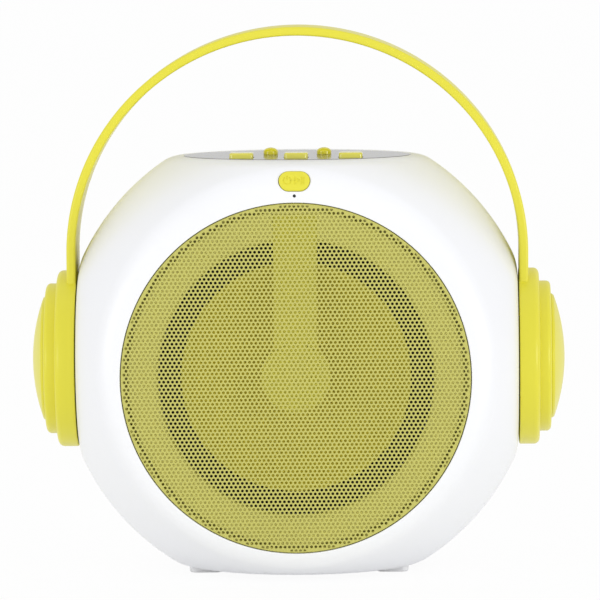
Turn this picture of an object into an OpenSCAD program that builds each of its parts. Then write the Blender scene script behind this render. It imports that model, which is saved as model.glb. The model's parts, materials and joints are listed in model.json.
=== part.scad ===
// Round portable karaoke speaker with a carry handle shaped like a pair of headphones.
// The front faces -Y, the feet stand on z = 0, and the body is centred on x = 0 and y = 0.

/* [Body shells] */
// Width of the round shoulder, from the front face's rounding out to the widest radius
shoulder = 31.14; // [30:0.02:32]
// Depth from the front face to the rear face
body_depth = 150; // [146:1:156]
// Radius of the rounded corner at the front and rear faces
corner_r = 13; // [12:0.5:14]
// Wall thickness of the shells
wall = 2.6; // [2.4:0.1:3]
// Height of the slice that the flat underside takes off the round body
bottom_cut = 16.5; // [15:0.5:18]
// Height of the slice that the flat top takes off the round body
top_cut = 18; // [17:0.5:19]
// Width of the slice that each side flat takes off the round body
side_cut = 9.6; // [8:0.2:11]
// Thickness of the locating lip inside the parting line
lip_t = 1.2; // [1:0.1:1.6]
// Reach of the locating lip into the rear shell
lip_reach = 2; // [1.5:0.5:3]
// Radius of the screw bosses that join the shells
boss_r = 4; // [3.5:0.25:4.5]
// Distance from the body's widest radius in to the screw bosses
boss_inset = 22; // [21:0.5:23]

/* [Feet] */
// Width of a rubber foot
foot_w = 16; // [14:0.5:17]
// Length of a rubber foot, front to back
foot_l = 22; // [18:1:24]
// Height of the feet below the underside
foot_h = 2.5; // [2:0.25:4]
// Distance of the feet from the middle, sideways
foot_x = 46.4; // [44:0.2:47]
// Distance of the feet from the middle, front to back
foot_y = 17; // [14:0.5:18]

/* [Grille and baffle] */
// Width of the baffle's border, from the driver's flange out to the grille's edge
grille_border = 11; // [10.5:0.5:12]
// Width of the front face's border, from the grille's edge out to the rounding
face_border = 2.36; // [2:0.02:3]
// Distance of the grille's centre below the body's centre
grille_drop = 4.3; // [3.3:0.5:5.3]
// Gap between the grille and the shell's opening
grille_gap = 0.4; // [0.3:0.1:0.7]
// Depth of the grille's face behind the front of the shell
grille_recess = 0.4; // [0.2:0.1:0.8]
// Thickness of the grille's sheet
sheet_t = 0.8; // [0.6:0.1:1]
// Depth of the grille's turned-back rim
rim_depth = 4.4; // [4:0.2:4.6]
// Spacing of the grille's holes
hole_pitch = 6.6; // [6:0.2:8]
// Diameter of the grille's holes
hole_d = 3.6; // [3:0.2:4.2]
// Wall of the round well that holds the baffle
well_wall = 1.8; // [1.6:0.1:2]
// Depth of the well's shelf behind the front of the shell
shelf_depth = 12.5; // [12:0.5:13.5]
// Thickness of the shelf
shelf_t = 2.5; // [2:0.25:3]
// Overlap of the baffle over the driver's flange
baffle_lap = 7; // [6.5:0.5:8]

/* [Loudspeaker] */
// Outer radius of the driver's mounting flange
flange_r = 74.5; // [70:0.5:78]
// Thickness of the driver's sheet-metal flange
flange_t = 2; // [1.5:0.25:2.25]
// Width from the cone's rim out to the flange's edge
cone_border = 18.3; // [18:0.1:19]
// Depth of the cone, from its rim to its neck
cone_depth = 17; // [15:0.5:19]
// Radius of the cone's neck
neck_r = 16; // [15:0.5:17]
// Radius of the surround's half roll
roll_r = 3.9; // [3.5:0.1:4]
// Depth of the basket behind its flange
basket_depth = 25; // [24:0.5:28]
// Radius of the magnet
magnet_r = 40; // [36:1:42]
// Thickness of the magnet
magnet_t = 15; // [12:1:18]

/* [Light bridge] */
// Width of the arm in front of the driver
arm_w = 21.5; // [18:0.5:24]
// Thickness of the arm
arm_t = 2.5; // [2:0.25:2.75]
// Radius of the round hub at the arm's end
hub_r = 17; // [16:0.5:18]
// Rise of the hub's dome
dome_rise = 2; // [1.5:0.1:2.1]

/* [Top panel] */
// Half of the oval panel's width
panel_a = 56.5; // [55.5:0.1:57.5]
// Half of the oval panel's depth
panel_b = 47.5; // [46.5:0.5:48.5]
// Thickness of the panel
panel_t = 1.8; // [1.6:0.1:2]
// Height of the panel's face above the flat top
panel_rise = 0.2; // [0.1:0.1:0.4]
// Width of a top button
button_w = 11.7; // [11:0.1:12.5]
// Depth of a top button, front to back
button_l = 13; // [12:0.5:14]
// Height of a top button above the panel
button_rise = 2.5; // [2:0.1:3]
// Distance between the top buttons' centres
button_pitch = 27; // [25:0.5:27.5]
// Distance of the top buttons in front of the middle
button_fore = 26; // [25.5:0.1:26.5]
// Diameter of a knob
knob_d = 7.3; // [7:0.1:8]
// Height of a knob above the panel
knob_h = 3.5; // [3.3:0.1:4.2]
// Distance of each knob from the middle, sideways
knob_x = 13.3; // [12.5:0.1:13.5]
// Distance of the knobs behind the middle
knob_y = 4; // [3:0.5:5]
// Press travel of every button
travel = 0.6; // [0.4:0.1:0.8]

/* [Power button] */
// Width of the oval power button
power_w = 15.2; // [14:0.1:16]
// Height of the oval power button
power_l = 9.9; // [9:0.1:10.2]
// Height of the power button above the body's surface
power_rise = 1; // [0.8:0.1:1.3]
// Height of the power button's centre above the start of the front face's rounding
power_up = 4.44; // [4:0.02:5]
// Height of the status light above the grille's opening
light_up = 3.3; // [3:0.1:3.4]
// Diameter of the status light
light_d = 1.4; // [1.2:0.1:1.5]

/* [Ear cups] */
// Radius of the padded ring
pad_r = 44; // [42:0.5:45]
// Distance from the side flat to the ring's outer face
pad_reach = 10.6; // [10.4:0.1:11.5]
// Gap between the side flat and the ring
pad_gap = 0.5; // [0.4:0.1:0.8]
// Rounding of the ring's outer edge
pad_round = 2.8; // [2:0.2:3.2]
// Wall thickness of the ring
pad_wall = 2.7; // [2.4:0.1:3]
// Radius of the stepped cover
cover_r = 37.5; // [36:0.5:39]
// Thickness of the stepped cover
cover_t = 5.8; // [5:0.2:7]
// Radius of the domed cap
cap_r = 31; // [29:0.5:33]
// Height of the domed cap
cap_h = 7; // [6:0.2:8]
// Radius of the hub that the handle turns on
pivot_r = 9.95; // [9:0.05:11]

/* [Handle] */
// Width of the flat band, front to back
band_w = 42; // [38:1:44]
// Thickness of the flat band
band_t = 4.4; // [4.2:0.1:4.6]
// Distance from the side flat out to the band's outer face
band_stand = 5.2; // [5.1:0.1:5.4]
// Rise of the arch above its straight legs
arch_rise = 112; // [109:0.5:115]
// Height above the body's centre where the arch starts
arch_start = 53.5; // [52:0.5:56]
// Height above the body's centre where the legs end, inside the ear cups
leg_end = 22; // [20:0.5:24]
// Fullness of the arch, where 2 is an ellipse
fullness = 2; // [1.95:0.05:2.2]
// Rounding of the band's edges
band_round = 1.2; // [0.8:0.1:1.6]

/* [Hidden] */

// Small clearances
fit = 0.1;         // between pieces of one assembly that don't move
slip = 0.3;        // between pieces that move past each other
turn_gap = 0.05;   // radial play of a shaft in its bore
eps = 0.5;         // overshoot of a cut, or overlap of a joined rib

// Radii of the front, from the driver outwards, and the crown that joins the widest radius to the corners
grille_r = flange_r + grille_border;
face_r = grille_r + face_border;
body_r = face_r + shoulder;
half_depth = body_depth / 2;
corner_d = half_depth - corner_r;
crown_r = (pow(corner_r, 2) - pow(shoulder, 2) - pow(corner_d, 2)) / 2 / (corner_r - shoulder);
crown_c = body_r - crown_r;
corner_start = atan2(corner_d, face_r - crown_c);

// Battery cells and their holder
cell_r = 9.2;
cell_l = 65;
cell_gap = 1.4;
holder_base = 2;
holder_h = 13;
holder_wall_x = 4.5;
holder_wall_y = 1;
holder_w = cell_l + 2 * holder_wall_x;
holder_l = 4 * cell_r + cell_gap + 2 * holder_wall_y;

// Main levels
flat_drop = body_r - bottom_cut;
flat_rise = body_r - top_cut;
side_flat = body_r - side_cut;
centre_z = flat_drop + foot_h;
top_z = centre_z + flat_rise;
panel_z = top_z + panel_rise;
panel_under = panel_z - panel_t;
inner_drop = flat_drop - wall;
side_inner = side_flat - wall;
rear_inner = half_depth - wall;

// Colours
white = [0.95, 0.95, 0.96];
yellow = [0.91, 0.87, 0.20];
deep_yellow = [0.80, 0.75, 0.10];
grey = [0.70, 0.70, 0.71];
steel = [0.75, 0.76, 0.78];
black = [0.08, 0.08, 0.08];
board_green = [0.10, 0.35, 0.20];

// Frame of the front view: X to the right, Y up, Z towards the viewer, from the body's centre
module front_frame(up = 0) {
    translate([0, 0, centre_z + up])
        rotate([90, 0, 0])
            children();
}

// Frame of an ear cup: Z outwards along the pivot axis, Y up; side is 1 on the right, -1 on the left
module side_frame(side) {
    translate([0, 0, centre_z])
        mirror([side < 0 ? 1 : 0, 0, 0])
            rotate([90, 0, 90])
                children();
}

// Points of a circular arc
function arc(c, r, from, to, steps) =
    [for (i = [0 : steps]) let (a = from + (to - from) * i / steps) c + r * [cos(a), sin(a)]];

// Points of an ellipse
function oval(a, b, steps = 96) =
    [for (i = [0 : steps - 1]) [a * cos(360 * i / steps), b * sin(360 * i / steps)]];

// Points of a rectangle with round corners; a stadium when r is half its height
function soft_rect(w, l, r, steps = 6) = concat(
    arc([w / 2 - r, l / 2 - r], r, 0, 90, steps),
    arc([r - w / 2, l / 2 - r], r, 90, 180, steps),
    arc([r - w / 2, r - l / 2], r, 180, 270, steps),
    arc([w / 2 - r, r - l / 2], r, 270, 360, steps));

// A block with round corners and a rounded top edge, its top at z = h
module soft_block(w, l, r, h, edge) {
    hull() {
        linear_extrude(h - edge)
            polygon(soft_rect(w, l, r));
        for (a = [30, 60, 90])
            translate([0, 0, h - edge + edge * sin(a) - 0.01])
                linear_extrude(0.01)
                    polygon(soft_rect(w - 2 * edge * (1 - cos(a)), l - 2 * edge * (1 - cos(a)),
                        r - edge * (1 - cos(a))));
    }
}

// A straight tube
module tube(r_out, r_in, h) {
    difference() {
        cylinder(r = r_out, h = h, $fn = 48);
        translate([0, 0, -eps])
            cylinder(r = r_in, h = h + 2 * eps, $fn = 48);
    }
}

// Screw sizes: radius and height of the head
big_head = [3.6, 2.2];
small_head = [2.8, 1.8];
board_head = [2.6, 1.6];
panel_head = [2, 1.4];
pivot_head = [4, 2.6];
bite = 5;

// A pan-head screw: its head rises from z = 0 and its shank goes down
module screw(head, shank_r, length) {
    head_r = head[0];
    head_h = head[1];
    rotate_extrude($fn = 32)
        polygon(concat(
            [[0, -length], [shank_r * 0.5, -length], [shank_r, -length + shank_r], [shank_r, 0], [head_r, 0]],
            arc([head_r - head_h * 0.6, head_h * 0.4], head_h * 0.6, 0, 90, 5),
            [[0, head_h]]));
}

// Body profile: crowned side, rounded corner and flat face
function body_profile(inset, overrun) = concat(
    [[0, -overrun], [body_r - inset, -overrun]],
    arc([crown_c, 0], crown_r - inset, 0, corner_start, 14),
    [for (p = arc([face_r, corner_d], corner_r - inset, corner_start, 90, 9)) if (p[1] > 0) p],
    [[0, half_depth - inset]]);

// Front half of the body, all faces moved in by inset; overrun takes it past the parting plane
module half_body(inset, overrun = 0) {
    intersection() {
        rotate_extrude($fn = 180)
            polygon(body_profile(inset, overrun));
        translate([inset - side_flat, inset - flat_drop, -2])
            cube([2 * (side_flat - inset), flat_drop + flat_rise - 2 * inset, half_depth + 4]);
    }
}

// Section of the body at the parting plane
module parting_section(inset) {
    intersection() {
        circle(body_r - inset, $fn = 180);
        translate([inset - side_flat, inset - flat_drop])
            square([2 * (side_flat - inset), flat_drop + flat_rise - 2 * inset]);
    }
}

// Places of the shell bosses, as angles from +X in the front view
boss_circle = body_r - boss_inset;
low_boss_angle = acos((holder_w / 2 + boss_r + 1.5) / boss_circle);
boss_angles = [38, 142, 218, 322, 180 + low_boss_angle, 360 - low_boss_angle];
shank_r = 1.5;

module at_bosses() {
    for (a = boss_angles)
        rotate([0, 0, a])
            translate([boss_circle, 0, 0])
                children();
}

// Oval seat and opening of the top panel, for the rebate and the hole in both shells
panel_ledge = 3;

module panel_cuts() {
    translate([0, 0, panel_under])
        linear_extrude(panel_t + eps)
            polygon(oval(panel_a + fit, panel_b + fit));
    translate([0, 0, top_z - wall - 4])
        linear_extrude(wall + 4 + eps)
            polygon(oval(panel_a - panel_ledge, panel_b - panel_ledge));
}

// Round openings in the side walls for the pivot bushes
bush_r = 15.8;
bush_flange_r = 20;

module bush_cuts(r) {
    for (side = [-1, 1])
        side_frame(side)
            translate([0, 0, side_flat - 12])
                cylinder(r = r, h = 14, $fn = 72);
}

// Shallow seats of the feet
foot_seat = 1;
foot_round = 4;

module at_feet(rows) {
    for (side = [-1, 1])
        for (row = rows)
            translate([side * foot_x, row * foot_y, 0])
                children();
}

module foot_cuts() {
    at_feet([-1, 1])
        translate([0, 0, foot_h - eps])
            linear_extrude(foot_seat + eps)
                polygon(soft_rect(foot_w + 2 * fit, foot_l + 2 * fit, foot_round));
}

// Power button's frame: Z along the outward normal of the rounded corner, Y up the slope
power_z = face_r + power_up;
power_tilt = asin(power_up / corner_r);
collar_end = 4.5;
power_pad_t = 1;
switch_h = 2.5;
power_board_top = collar_end + slip + power_pad_t + travel + fit + switch_h;
power_board_t = 1.2;
power_board_w = 36;
power_board_l = 8.4;
power_post_x = 14;

module power_frame() {
    front_frame()
        translate([0, power_z, corner_d + corner_r * cos(power_tilt)])
            rotate([-power_tilt, 0, 0])
                children();
}

module power_outline(grow) {
    polygon(soft_rect(power_w + 2 * grow, power_l + 2 * grow, power_l / 2 + grow - 0.01, 10));
}

// The well that carries the baffle, in the front view and centred on the grille
well_r = grille_r + grille_gap;
shelf_d = half_depth - shelf_depth;
shelf_in = flange_r + 2.5;
baffle_screw_r = flange_r + 7;
light_z = well_r - grille_drop + light_up;
baffle_angles = [30, 90, 150, 210, 270, 330];

module well() {
    difference() {
        union() {
            translate([0, 0, shelf_d - shelf_t])
                tube(well_r + well_wall, well_r, shelf_depth + shelf_t - 1.2);
            translate([0, 0, shelf_d - shelf_t])
                tube(well_r + well_wall, shelf_in, shelf_t);
        }
        for (a = baffle_angles)
            rotate([0, 0, a])
                translate([baffle_screw_r, 0, shelf_d - shelf_t - eps])
                    cylinder(r = shank_r + fit, h = shelf_t + 2 * eps, $fn = 24);
    }
}

module front_shell() {
    color(white)
        difference() {
            union() {
                front_frame()
                    difference() {
                        half_body(0);
                        half_body(wall, 1);
                    }
                front_frame() {
                    translate([0, 0, -lip_reach])
                        linear_extrude(lip_reach + 4)
                            difference() {
                                parting_section(wall + 0.15);
                                parting_section(wall + 0.15 + lip_t);
                            }
                    linear_extrude(4)
                        difference() {
                            parting_section(wall - eps);
                            parting_section(wall + 0.15 + lip_t);
                        }
                    intersection() {
                        half_body(1);
                        union() {
                            at_bosses()
                                cylinder(r = boss_r, h = half_depth, $fn = 48);
                            translate([0, -grille_drop, 0])
                                well();
                        }
                    }
                }
                intersection() {
                    front_frame()
                        half_body(1);
                    power_frame() {
                        translate([0, 0, -collar_end])
                            linear_extrude(collar_end)
                                difference() {
                                    power_outline(1.8);
                                    power_outline(slip);
                                }
                        for (side = [-1, 1])
                            translate([side * power_post_x, 0, -power_board_top])
                                tube(2.4, 0.9, power_board_top);
                    }
                }
            }
            front_frame() {
                translate([0, -grille_drop, shelf_d])
                    cylinder(r = well_r, h = shelf_depth + eps, $fn = 180);
                at_bosses()
                    translate([0, 0, -eps])
                        cylinder(r = shank_r, h = 16, $fn = 24);
                translate([0, light_z, half_depth - wall - 2])
                    cylinder(r = light_d / 2 + fit, h = wall + 3, $fn = 24);
            }
            power_frame()
                translate([0, 0, -collar_end - eps])
                    linear_extrude(collar_end + 4)
                        power_outline(slip);
            panel_cuts();
            bush_cuts(bush_r + fit);
            intersection() {
                bush_cuts(bush_flange_r + 1);
                cube([2 * side_inner, 20, 400], center = true);
            }
            foot_cuts();
        }
}

// Rear shell: screw recesses, circuit board posts and socket openings
recess_r = 4.6;
recess_wall = 1.8;
recess_floor = half_depth - 19;
board_d = rear_inner - 14.4;
board_t = 1.6;
board_w = 110;
board_h = 78;
board_up = 10;
post_r = 3.5;
post_bore = 1.2;
post_bore_depth = 8;
board_post_x = board_w / 2 - 6;
board_post_z = board_h / 2 - 6;
socket_floor = -62;
socket_board_w = 64;
socket_board_l = 27.4;
socket_post_r = 3;
socket_post_x = socket_board_w / 2 - 6;
socket_post_y = [rear_inner - 23.4, rear_inner - 9.4];
mic_x = -15;
aux_x = 3;
charge_x = 17;
mic_z = -53.9;
aux_z = -56.9;
charge_z = -58.6;
mic_nose_r = 4.6;
aux_nose_r = 2.9;
charge_w = 9.2;
charge_h = 3.5;

module at_main_posts() {
    for (side = [-1, 1])
        for (level = [-1, 1])
            translate([side * board_post_x, board_up + level * board_post_z, 0])
                children();
}

module rear_shell() {
    color(white)
        difference() {
            union() {
                front_frame()
                    mirror([0, 0, 1])
                        difference() {
                            half_body(0);
                            half_body(wall, 1);
                        }
                intersection() {
                    front_frame()
                        mirror([0, 0, 1])
                            half_body(1);
                    union() {
                        front_frame()
                            at_bosses()
                                translate([0, 0, -half_depth])
                                    cylinder(r = recess_r + recess_wall, h = half_depth - recess_floor + 3, $fn = 48);
                        front_frame()
                            at_bosses()
                                translate([0, 0, -half_depth])
                                    cylinder(r = boss_r, h = half_depth, $fn = 48);
                        front_frame()
                            at_main_posts()
                                translate([0, 0, -half_depth])
                                    cylinder(r = post_r, h = half_depth - board_d - board_t, $fn = 32);
                        for (side = [-1, 1])
                            for (y = socket_post_y)
                                translate([side * socket_post_x, y, 0])
                                    cylinder(r = socket_post_r, h = centre_z + socket_floor, $fn = 32);
                    }
                }
            }
            front_frame() {
                at_bosses()
                    translate([0, 0, -half_depth - eps]) {
                        cylinder(r = recess_r, h = half_depth + eps - recess_floor, $fn = 48);
                        cylinder(r = shank_r + fit, h = half_depth + 1, $fn = 24);
                    }
                at_main_posts()
                    translate([0, 0, -board_d - board_t - post_bore_depth])
                        cylinder(r = post_bore, h = post_bore_depth + eps, $fn = 24);
                translate([mic_x, mic_z, -half_depth - eps])
                    cylinder(r = mic_nose_r + fit, h = wall + 2 * eps, $fn = 48);
                translate([aux_x, aux_z, -half_depth - eps])
                    cylinder(r = aux_nose_r + fit, h = wall + 2 * eps, $fn = 32);
                translate([charge_x, charge_z, -half_depth - eps])
                    linear_extrude(wall + 2 * eps)
                        polygon(soft_rect(charge_w + 2 * fit, charge_h + 2 * fit, charge_h / 2));
            }
            for (side = [-1, 1])
                for (y = socket_post_y)
                    translate([side * socket_post_x, y, centre_z + socket_floor - post_bore_depth])
                        cylinder(r = post_bore, h = post_bore_depth + eps, $fn = 24);
            panel_cuts();
            bush_cuts(bush_r + fit);
            foot_cuts();
        }
}

module feet() {
    color(white)
        at_feet([-1, 1])
            translate([0, 0, foot_h + foot_seat])
                rotate([180, 0, 0])
                    soft_block(foot_w, foot_l, foot_round, foot_h + foot_seat, 1);
}

// Places on the top panel
button_places = [-button_pitch, 0, button_pitch];
button_round = 1.6;
flange_grow = 1;
flange_plate = 1.2;
key_h = 1.5;
key_body = 3.5;
control_top = panel_under - slip - flange_plate - travel - fit - key_h - key_body;
control_t = 1.6;
control_w = 70;
control_front = -34;
control_back = 16;
control_posts = [[-31, 10], [31, 10], [-31, -13], [31, -13]];
panel_post_r = 2.6;
panel_post_bore = 1;
shaft_r = 1.75;

module top_panel() {
    color(grey)
        difference() {
            union() {
                translate([0, 0, panel_under])
                    linear_extrude(panel_t)
                        polygon(oval(panel_a, panel_b));
                for (p = control_posts)
                    translate([p[0], p[1], control_top])
                        cylinder(r = panel_post_r, h = panel_under - control_top + eps, $fn = 32);
            }
            for (x = button_places)
                translate([x, -button_fore, panel_under - eps])
                    linear_extrude(panel_t + 2 * eps)
                        polygon(soft_rect(button_w + 2 * slip, button_l + 2 * slip, button_round + slip));
            for (side = [-1, 1])
                translate([side * knob_x, knob_y, panel_under - eps])
                    cylinder(r = shaft_r + 0.65, h = panel_t + 2 * eps, $fn = 32);
            for (p = control_posts)
                translate([p[0], p[1], control_top - eps])
                    cylinder(r = panel_post_bore, h = bite + 2 * eps, $fn = 24);
        }
}

// Front grille: perforated sheet with a rolled edge and a turned-back rim
edge_round = 1.2;
plain_edge = 2.2;

module hole_pattern() {
    row_step = hole_pitch * sqrt(3) / 2;
    rows = floor(grille_r / row_step);
    columns = ceil(grille_r / hole_pitch);
    for (row = [-rows : rows])
        for (column = [-columns : columns])
            let (x = (column + (row % 2 == 0 ? 0 : 0.5)) * hole_pitch, y = row * row_step)
                if (norm([x, y]) < grille_r - plain_edge - hole_d / 2)
                    translate([x, y])
                        circle(d = hole_d, $fn = 16);
}

module front_grille() {
    face = half_depth - grille_recess;
    color(yellow)
        front_frame(-grille_drop) {
            translate([0, 0, face - sheet_t])
                linear_extrude(sheet_t)
                    difference() {
                        circle(grille_r - edge_round - 0.4, $fn = 180);
                        hole_pattern();
                    }
            rotate_extrude($fn = 180)
                polygon(concat(
                    [[grille_r - edge_round - 0.6, face - sheet_t]],
                    arc([grille_r - edge_round, face - edge_round], edge_round - sheet_t, 90, 0, 4),
                    [[grille_r - sheet_t, face - rim_depth], [grille_r, face - rim_depth]],
                    arc([grille_r - edge_round, face - edge_round], edge_round, 0, 90, 6),
                    [[grille_r - edge_round - 0.6, face]]));
        }
}

// Baffle ring: carries the grille in front, the driver behind and the light bridge across
baffle_face = half_depth - 3.5;
baffle_land = flange_r + 8;
baffle_hole_r = flange_r - baffle_lap;
baffle_rim_d = half_depth - grille_recess - rim_depth - fit;
driver_screw_r = flange_r - 3;
driver_angles = [45, 135, 225, 315];
arm_top = flange_r + 5.5;
arm_screw_x = 6;
arm_screw_r = 1;

module baffle_ring() {
    color(yellow)
        front_frame(-grille_drop)
            difference() {
                rotate_extrude($fn = 180)
                    polygon(concat(
                        [[baffle_hole_r, shelf_d], [well_r - 2 * fit, shelf_d],
                            [well_r - 2 * fit, baffle_rim_d], [baffle_land, baffle_rim_d],
                            [baffle_land, baffle_face]],
                        arc([baffle_hole_r + 2, baffle_face - 2], 2, 90, 180, 6)));
                for (a = baffle_angles)
                    rotate([0, 0, a])
                        translate([baffle_screw_r, 0, shelf_d - eps])
                            cylinder(r = shank_r + fit, h = 6, $fn = 24);
                for (a = driver_angles)
                    rotate([0, 0, a])
                        translate([driver_screw_r, 0, shelf_d - eps])
                            cylinder(r = shank_r + fit, h = 7, $fn = 24);
                translate([-arm_w / 2 - fit, baffle_hole_r - 4, baffle_face - arm_t - fit])
                    cube([arm_w + 2 * fit, arm_top - baffle_hole_r + 4 + fit, arm_t + 4]);
            }
}

// Light bridge: an arm from the top of the baffle to a round hub in front of the driver
hub_depth = 8.5;
hub_back = baffle_face - hub_depth;
hub_taper = 3;
light_board_r = 13;
light_board_t = 1.6;
board_seat = baffle_face - 5.2;
lamp_w = 5;
lamp_h = 1.6;
lamp_in = 6;

module bridge_arm() {
    color(yellow)
        front_frame(-grille_drop)
            difference() {
                union() {
                    translate([-arm_w / 2, 0, baffle_face - arm_t])
                        cube([arm_w, arm_top, arm_t]);
                    translate([0, 0, hub_back])
                        cylinder(r1 = hub_r - hub_taper, r2 = hub_r, h = baffle_face - hub_back - arm_t, $fn = 96);
                    translate([0, 0, baffle_face - arm_t])
                        cylinder(r = hub_r, h = arm_t, $fn = 96);
                }
                translate([0, 0, board_seat - light_board_t])
                    cylinder(r = light_board_r + fit, h = hub_depth, $fn = 72);
                for (side = [-1, 1])
                    translate([side * arm_screw_x, arm_top - 5 * arm_screw_r, baffle_face - arm_t - eps])
                        cylinder(r = arm_screw_r, h = arm_t + 2 * eps, $fn = 24);
            }
}

module light_board() {
    color(board_green)
        front_frame(-grille_drop) {
            translate([0, 0, board_seat - light_board_t])
                cylinder(r = light_board_r, h = light_board_t, $fn = 72);
            for (a = [90, 210, 330])
                rotate([0, 0, a])
                    translate([lamp_in, -lamp_w / 2, board_seat - 0.01])
                        cube([lamp_w, lamp_w, lamp_h]);
        }
}

module hub_dome() {
    dome_r = hub_r - 0.6;
    collar_r = light_board_r - 0.2;
    collar_end = board_seat + lamp_h + slip;
    sphere_r = (pow(dome_r, 2) + pow(dome_rise, 2)) / (2 * dome_rise);
    half_angle = asin(dome_r / sphere_r);
    color(deep_yellow)
        front_frame(-grille_drop)
            rotate_extrude($fn = 96)
                polygon(concat(
                    [[0, baffle_face], [collar_r - 1, baffle_face], [collar_r - 1, collar_end],
                        [collar_r, collar_end], [collar_r, baffle_face], [dome_r, baffle_face]],
                    arc([0, baffle_face + dome_rise - sphere_r], sphere_r, 90 - half_angle, 90, 10)));
}

// Driver, in the front view and centred on the grille
flange_d = shelf_d;
basket_back = flange_d - flange_t - basket_depth;
surround_t = 0.8;
cone_r = flange_r - cone_border;
roll_c = cone_r + roll_r + 0.1;
coil_r = 12.6;
plate_t = 4;
pole_r = 12;
gap_r = 14;

basket_top_r = flange_r - 11;
sheet_gauge = 1.4;
spokes = 6;
window_w = 28;

module driver_basket() {
    seat_r = magnet_r - 4;
    color(steel)
        front_frame(-grille_drop)
            difference() {
                rotate_extrude($fn = 120)
                    polygon([[flange_r, flange_d], [flange_r, flange_d - flange_t],
                        [basket_top_r, flange_d - flange_t], [seat_r + 2, basket_back + 3],
                        [seat_r, basket_back], [gap_r + 1, basket_back],
                        [gap_r + 1, basket_back + sheet_gauge], [seat_r - 1, basket_back + sheet_gauge],
                        [seat_r + 0.6, basket_back + 3.6], [basket_top_r - 2, flange_d - flange_t + 0.6],
                        [basket_top_r - 2, flange_d]]);
                for (i = [0 : spokes - 1])
                    rotate([0, 0, 360 / spokes * i])
                        translate([0, 0, basket_back + 7])
                            rotate([0, 90, 0])
                                translate([0, 0, seat_r - 2])
                                    linear_extrude(basket_top_r - seat_r + 10)
                                        polygon(soft_rect_turned(basket_depth - 11, window_w, 5));
                for (a = driver_angles)
                    rotate([0, 0, a])
                        translate([driver_screw_r, 0, flange_d - flange_t - eps])
                            cylinder(r = shank_r + 0.2, h = flange_t + 2 * eps, $fn = 24);
            }
}

// Rounded rectangle that grows towards -X from x = 0, for the basket's windows
function soft_rect_turned(w, l, r) = [for (p = soft_rect(w, l, r)) [p[0] - w / 2, p[1]]];

module driver_surround() {
    level = flange_d;
    foot_r = roll_c + roll_r + 3.2;
    foot_angle = asin(surround_t / roll_r);
    color(black)
        front_frame(-grille_drop)
            rotate_extrude($fn = 120)
                polygon(concat(
                    [[foot_r, level], [foot_r, level + surround_t]],
                    arc([roll_c, level], roll_r, foot_angle, 180 - foot_angle, 12),
                    [[cone_r - cone_lip + 0.2, level + surround_t], [cone_r - cone_lip + 0.2, level]],
                    arc([roll_c, level], roll_r - surround_t, 180, 0, 12)));
}

// Curved paper cone: steep at the neck, level at the rim, and a flat lip glued on the surround
cone_lip = 3.2;
cone_t = 0.8;

function cone_curve(lift) = [for (t = [0 : 1 / 12 : 1])
    [neck_r + (cone_r - cone_lip - neck_r) * sin(90 * t) * (0.35 + 0.65 * t),
        flange_d + surround_t - cone_depth * cos(90 * t) + lift]];

function reversed(list) = [for (i = [len(list) - 1 : -1 : 0]) list[i]];

module driver_cone() {
    color(yellow)
        front_frame(-grille_drop)
            rotate_extrude($fn = 120)
                polygon(concat(
                    cone_curve(0),
                    [[cone_r, flange_d + surround_t], [cone_r, flange_d + surround_t + cone_t]],
                    reversed(cone_curve(cone_t))));
}

dome_lift = 5;
dome_sheet = 0.6;

module dust_cap() {
    cap_base = flange_d + surround_t - cone_depth + 1.4;
    cap_edge = neck_r + 1;
    sphere_r = (pow(cap_edge, 2) + pow(dome_lift, 2)) / (2 * dome_lift);
    centre = cap_base + dome_lift - sphere_r;
    half_angle = asin(cap_edge / sphere_r);
    color(yellow)
        front_frame(-grille_drop)
            rotate_extrude($fn = 96)
                polygon(concat(
                    arc([0, centre], sphere_r, 90 - half_angle, 90, 10),
                    arc([0, centre], sphere_r - dome_sheet, 90, 90 - half_angle, 10)));
}

coil_reach = 3;
coil_wall = 0.5;

module voice_coil() {
    start = basket_back - plate_t - coil_reach;
    color([0.75, 0.45, 0.25])
        front_frame(-grille_drop)
            translate([0, 0, start])
                tube(coil_r + coil_wall, coil_r, flange_d + surround_t - cone_depth - start - 0.2);
}

spider_up = 4;
wave_h = 0.9;
cloth_t = 0.5;

module driver_spider() {
    level = basket_back + spider_up;
    waves = 4;
    inner = coil_r + coil_wall + 0.2;
    outer = magnet_r - 4;
    function wave(t, lift) = [inner + (outer - inner) * t, level + lift + wave_h * sin(360 * waves * t)];
    color([0.85, 0.75, 0.45])
        front_frame(-grille_drop)
            rotate_extrude($fn = 96)
                polygon(concat(
                    [for (i = [0 : 32]) wave(i / 32, 0)],
                    [for (i = [32 : -1 : 0]) wave(i / 32, cloth_t)]));
}

module driver_top_plate() {
    color(steel)
        front_frame(-grille_drop)
            translate([0, 0, basket_back - plate_t])
                tube(magnet_r - 3, gap_r, plate_t);
}

module driver_magnet() {
    color(black)
        front_frame(-grille_drop)
            translate([0, 0, basket_back - plate_t - magnet_t])
                tube(magnet_r, gap_r + 5, magnet_t);
}

yoke_t = 5;

module driver_yoke() {
    back = basket_back - plate_t - magnet_t;
    color(steel)
        front_frame(-grille_drop)
            rotate_extrude($fn = 96)
                polygon([[0, back - yoke_t], [magnet_r - 5, back - yoke_t], [magnet_r - 3, back - yoke_t + 2],
                    [magnet_r - 3, back], [pole_r, back], [pole_r, basket_back], [0, basket_back]]);
}

// Terminal strip on the basket's side wall, with two tags
terminal_x = basket_top_r - 7;
terminal_w = 14;
terminal_h = 9;
terminal_t = 1.6;
terminal_d = flange_d - flange_t - terminal_h - 5;
tag_l = 5;
tag_w = 2.4;
tag_t = 0.8;
tag_y = 4;
tag_up = 2;

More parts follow.
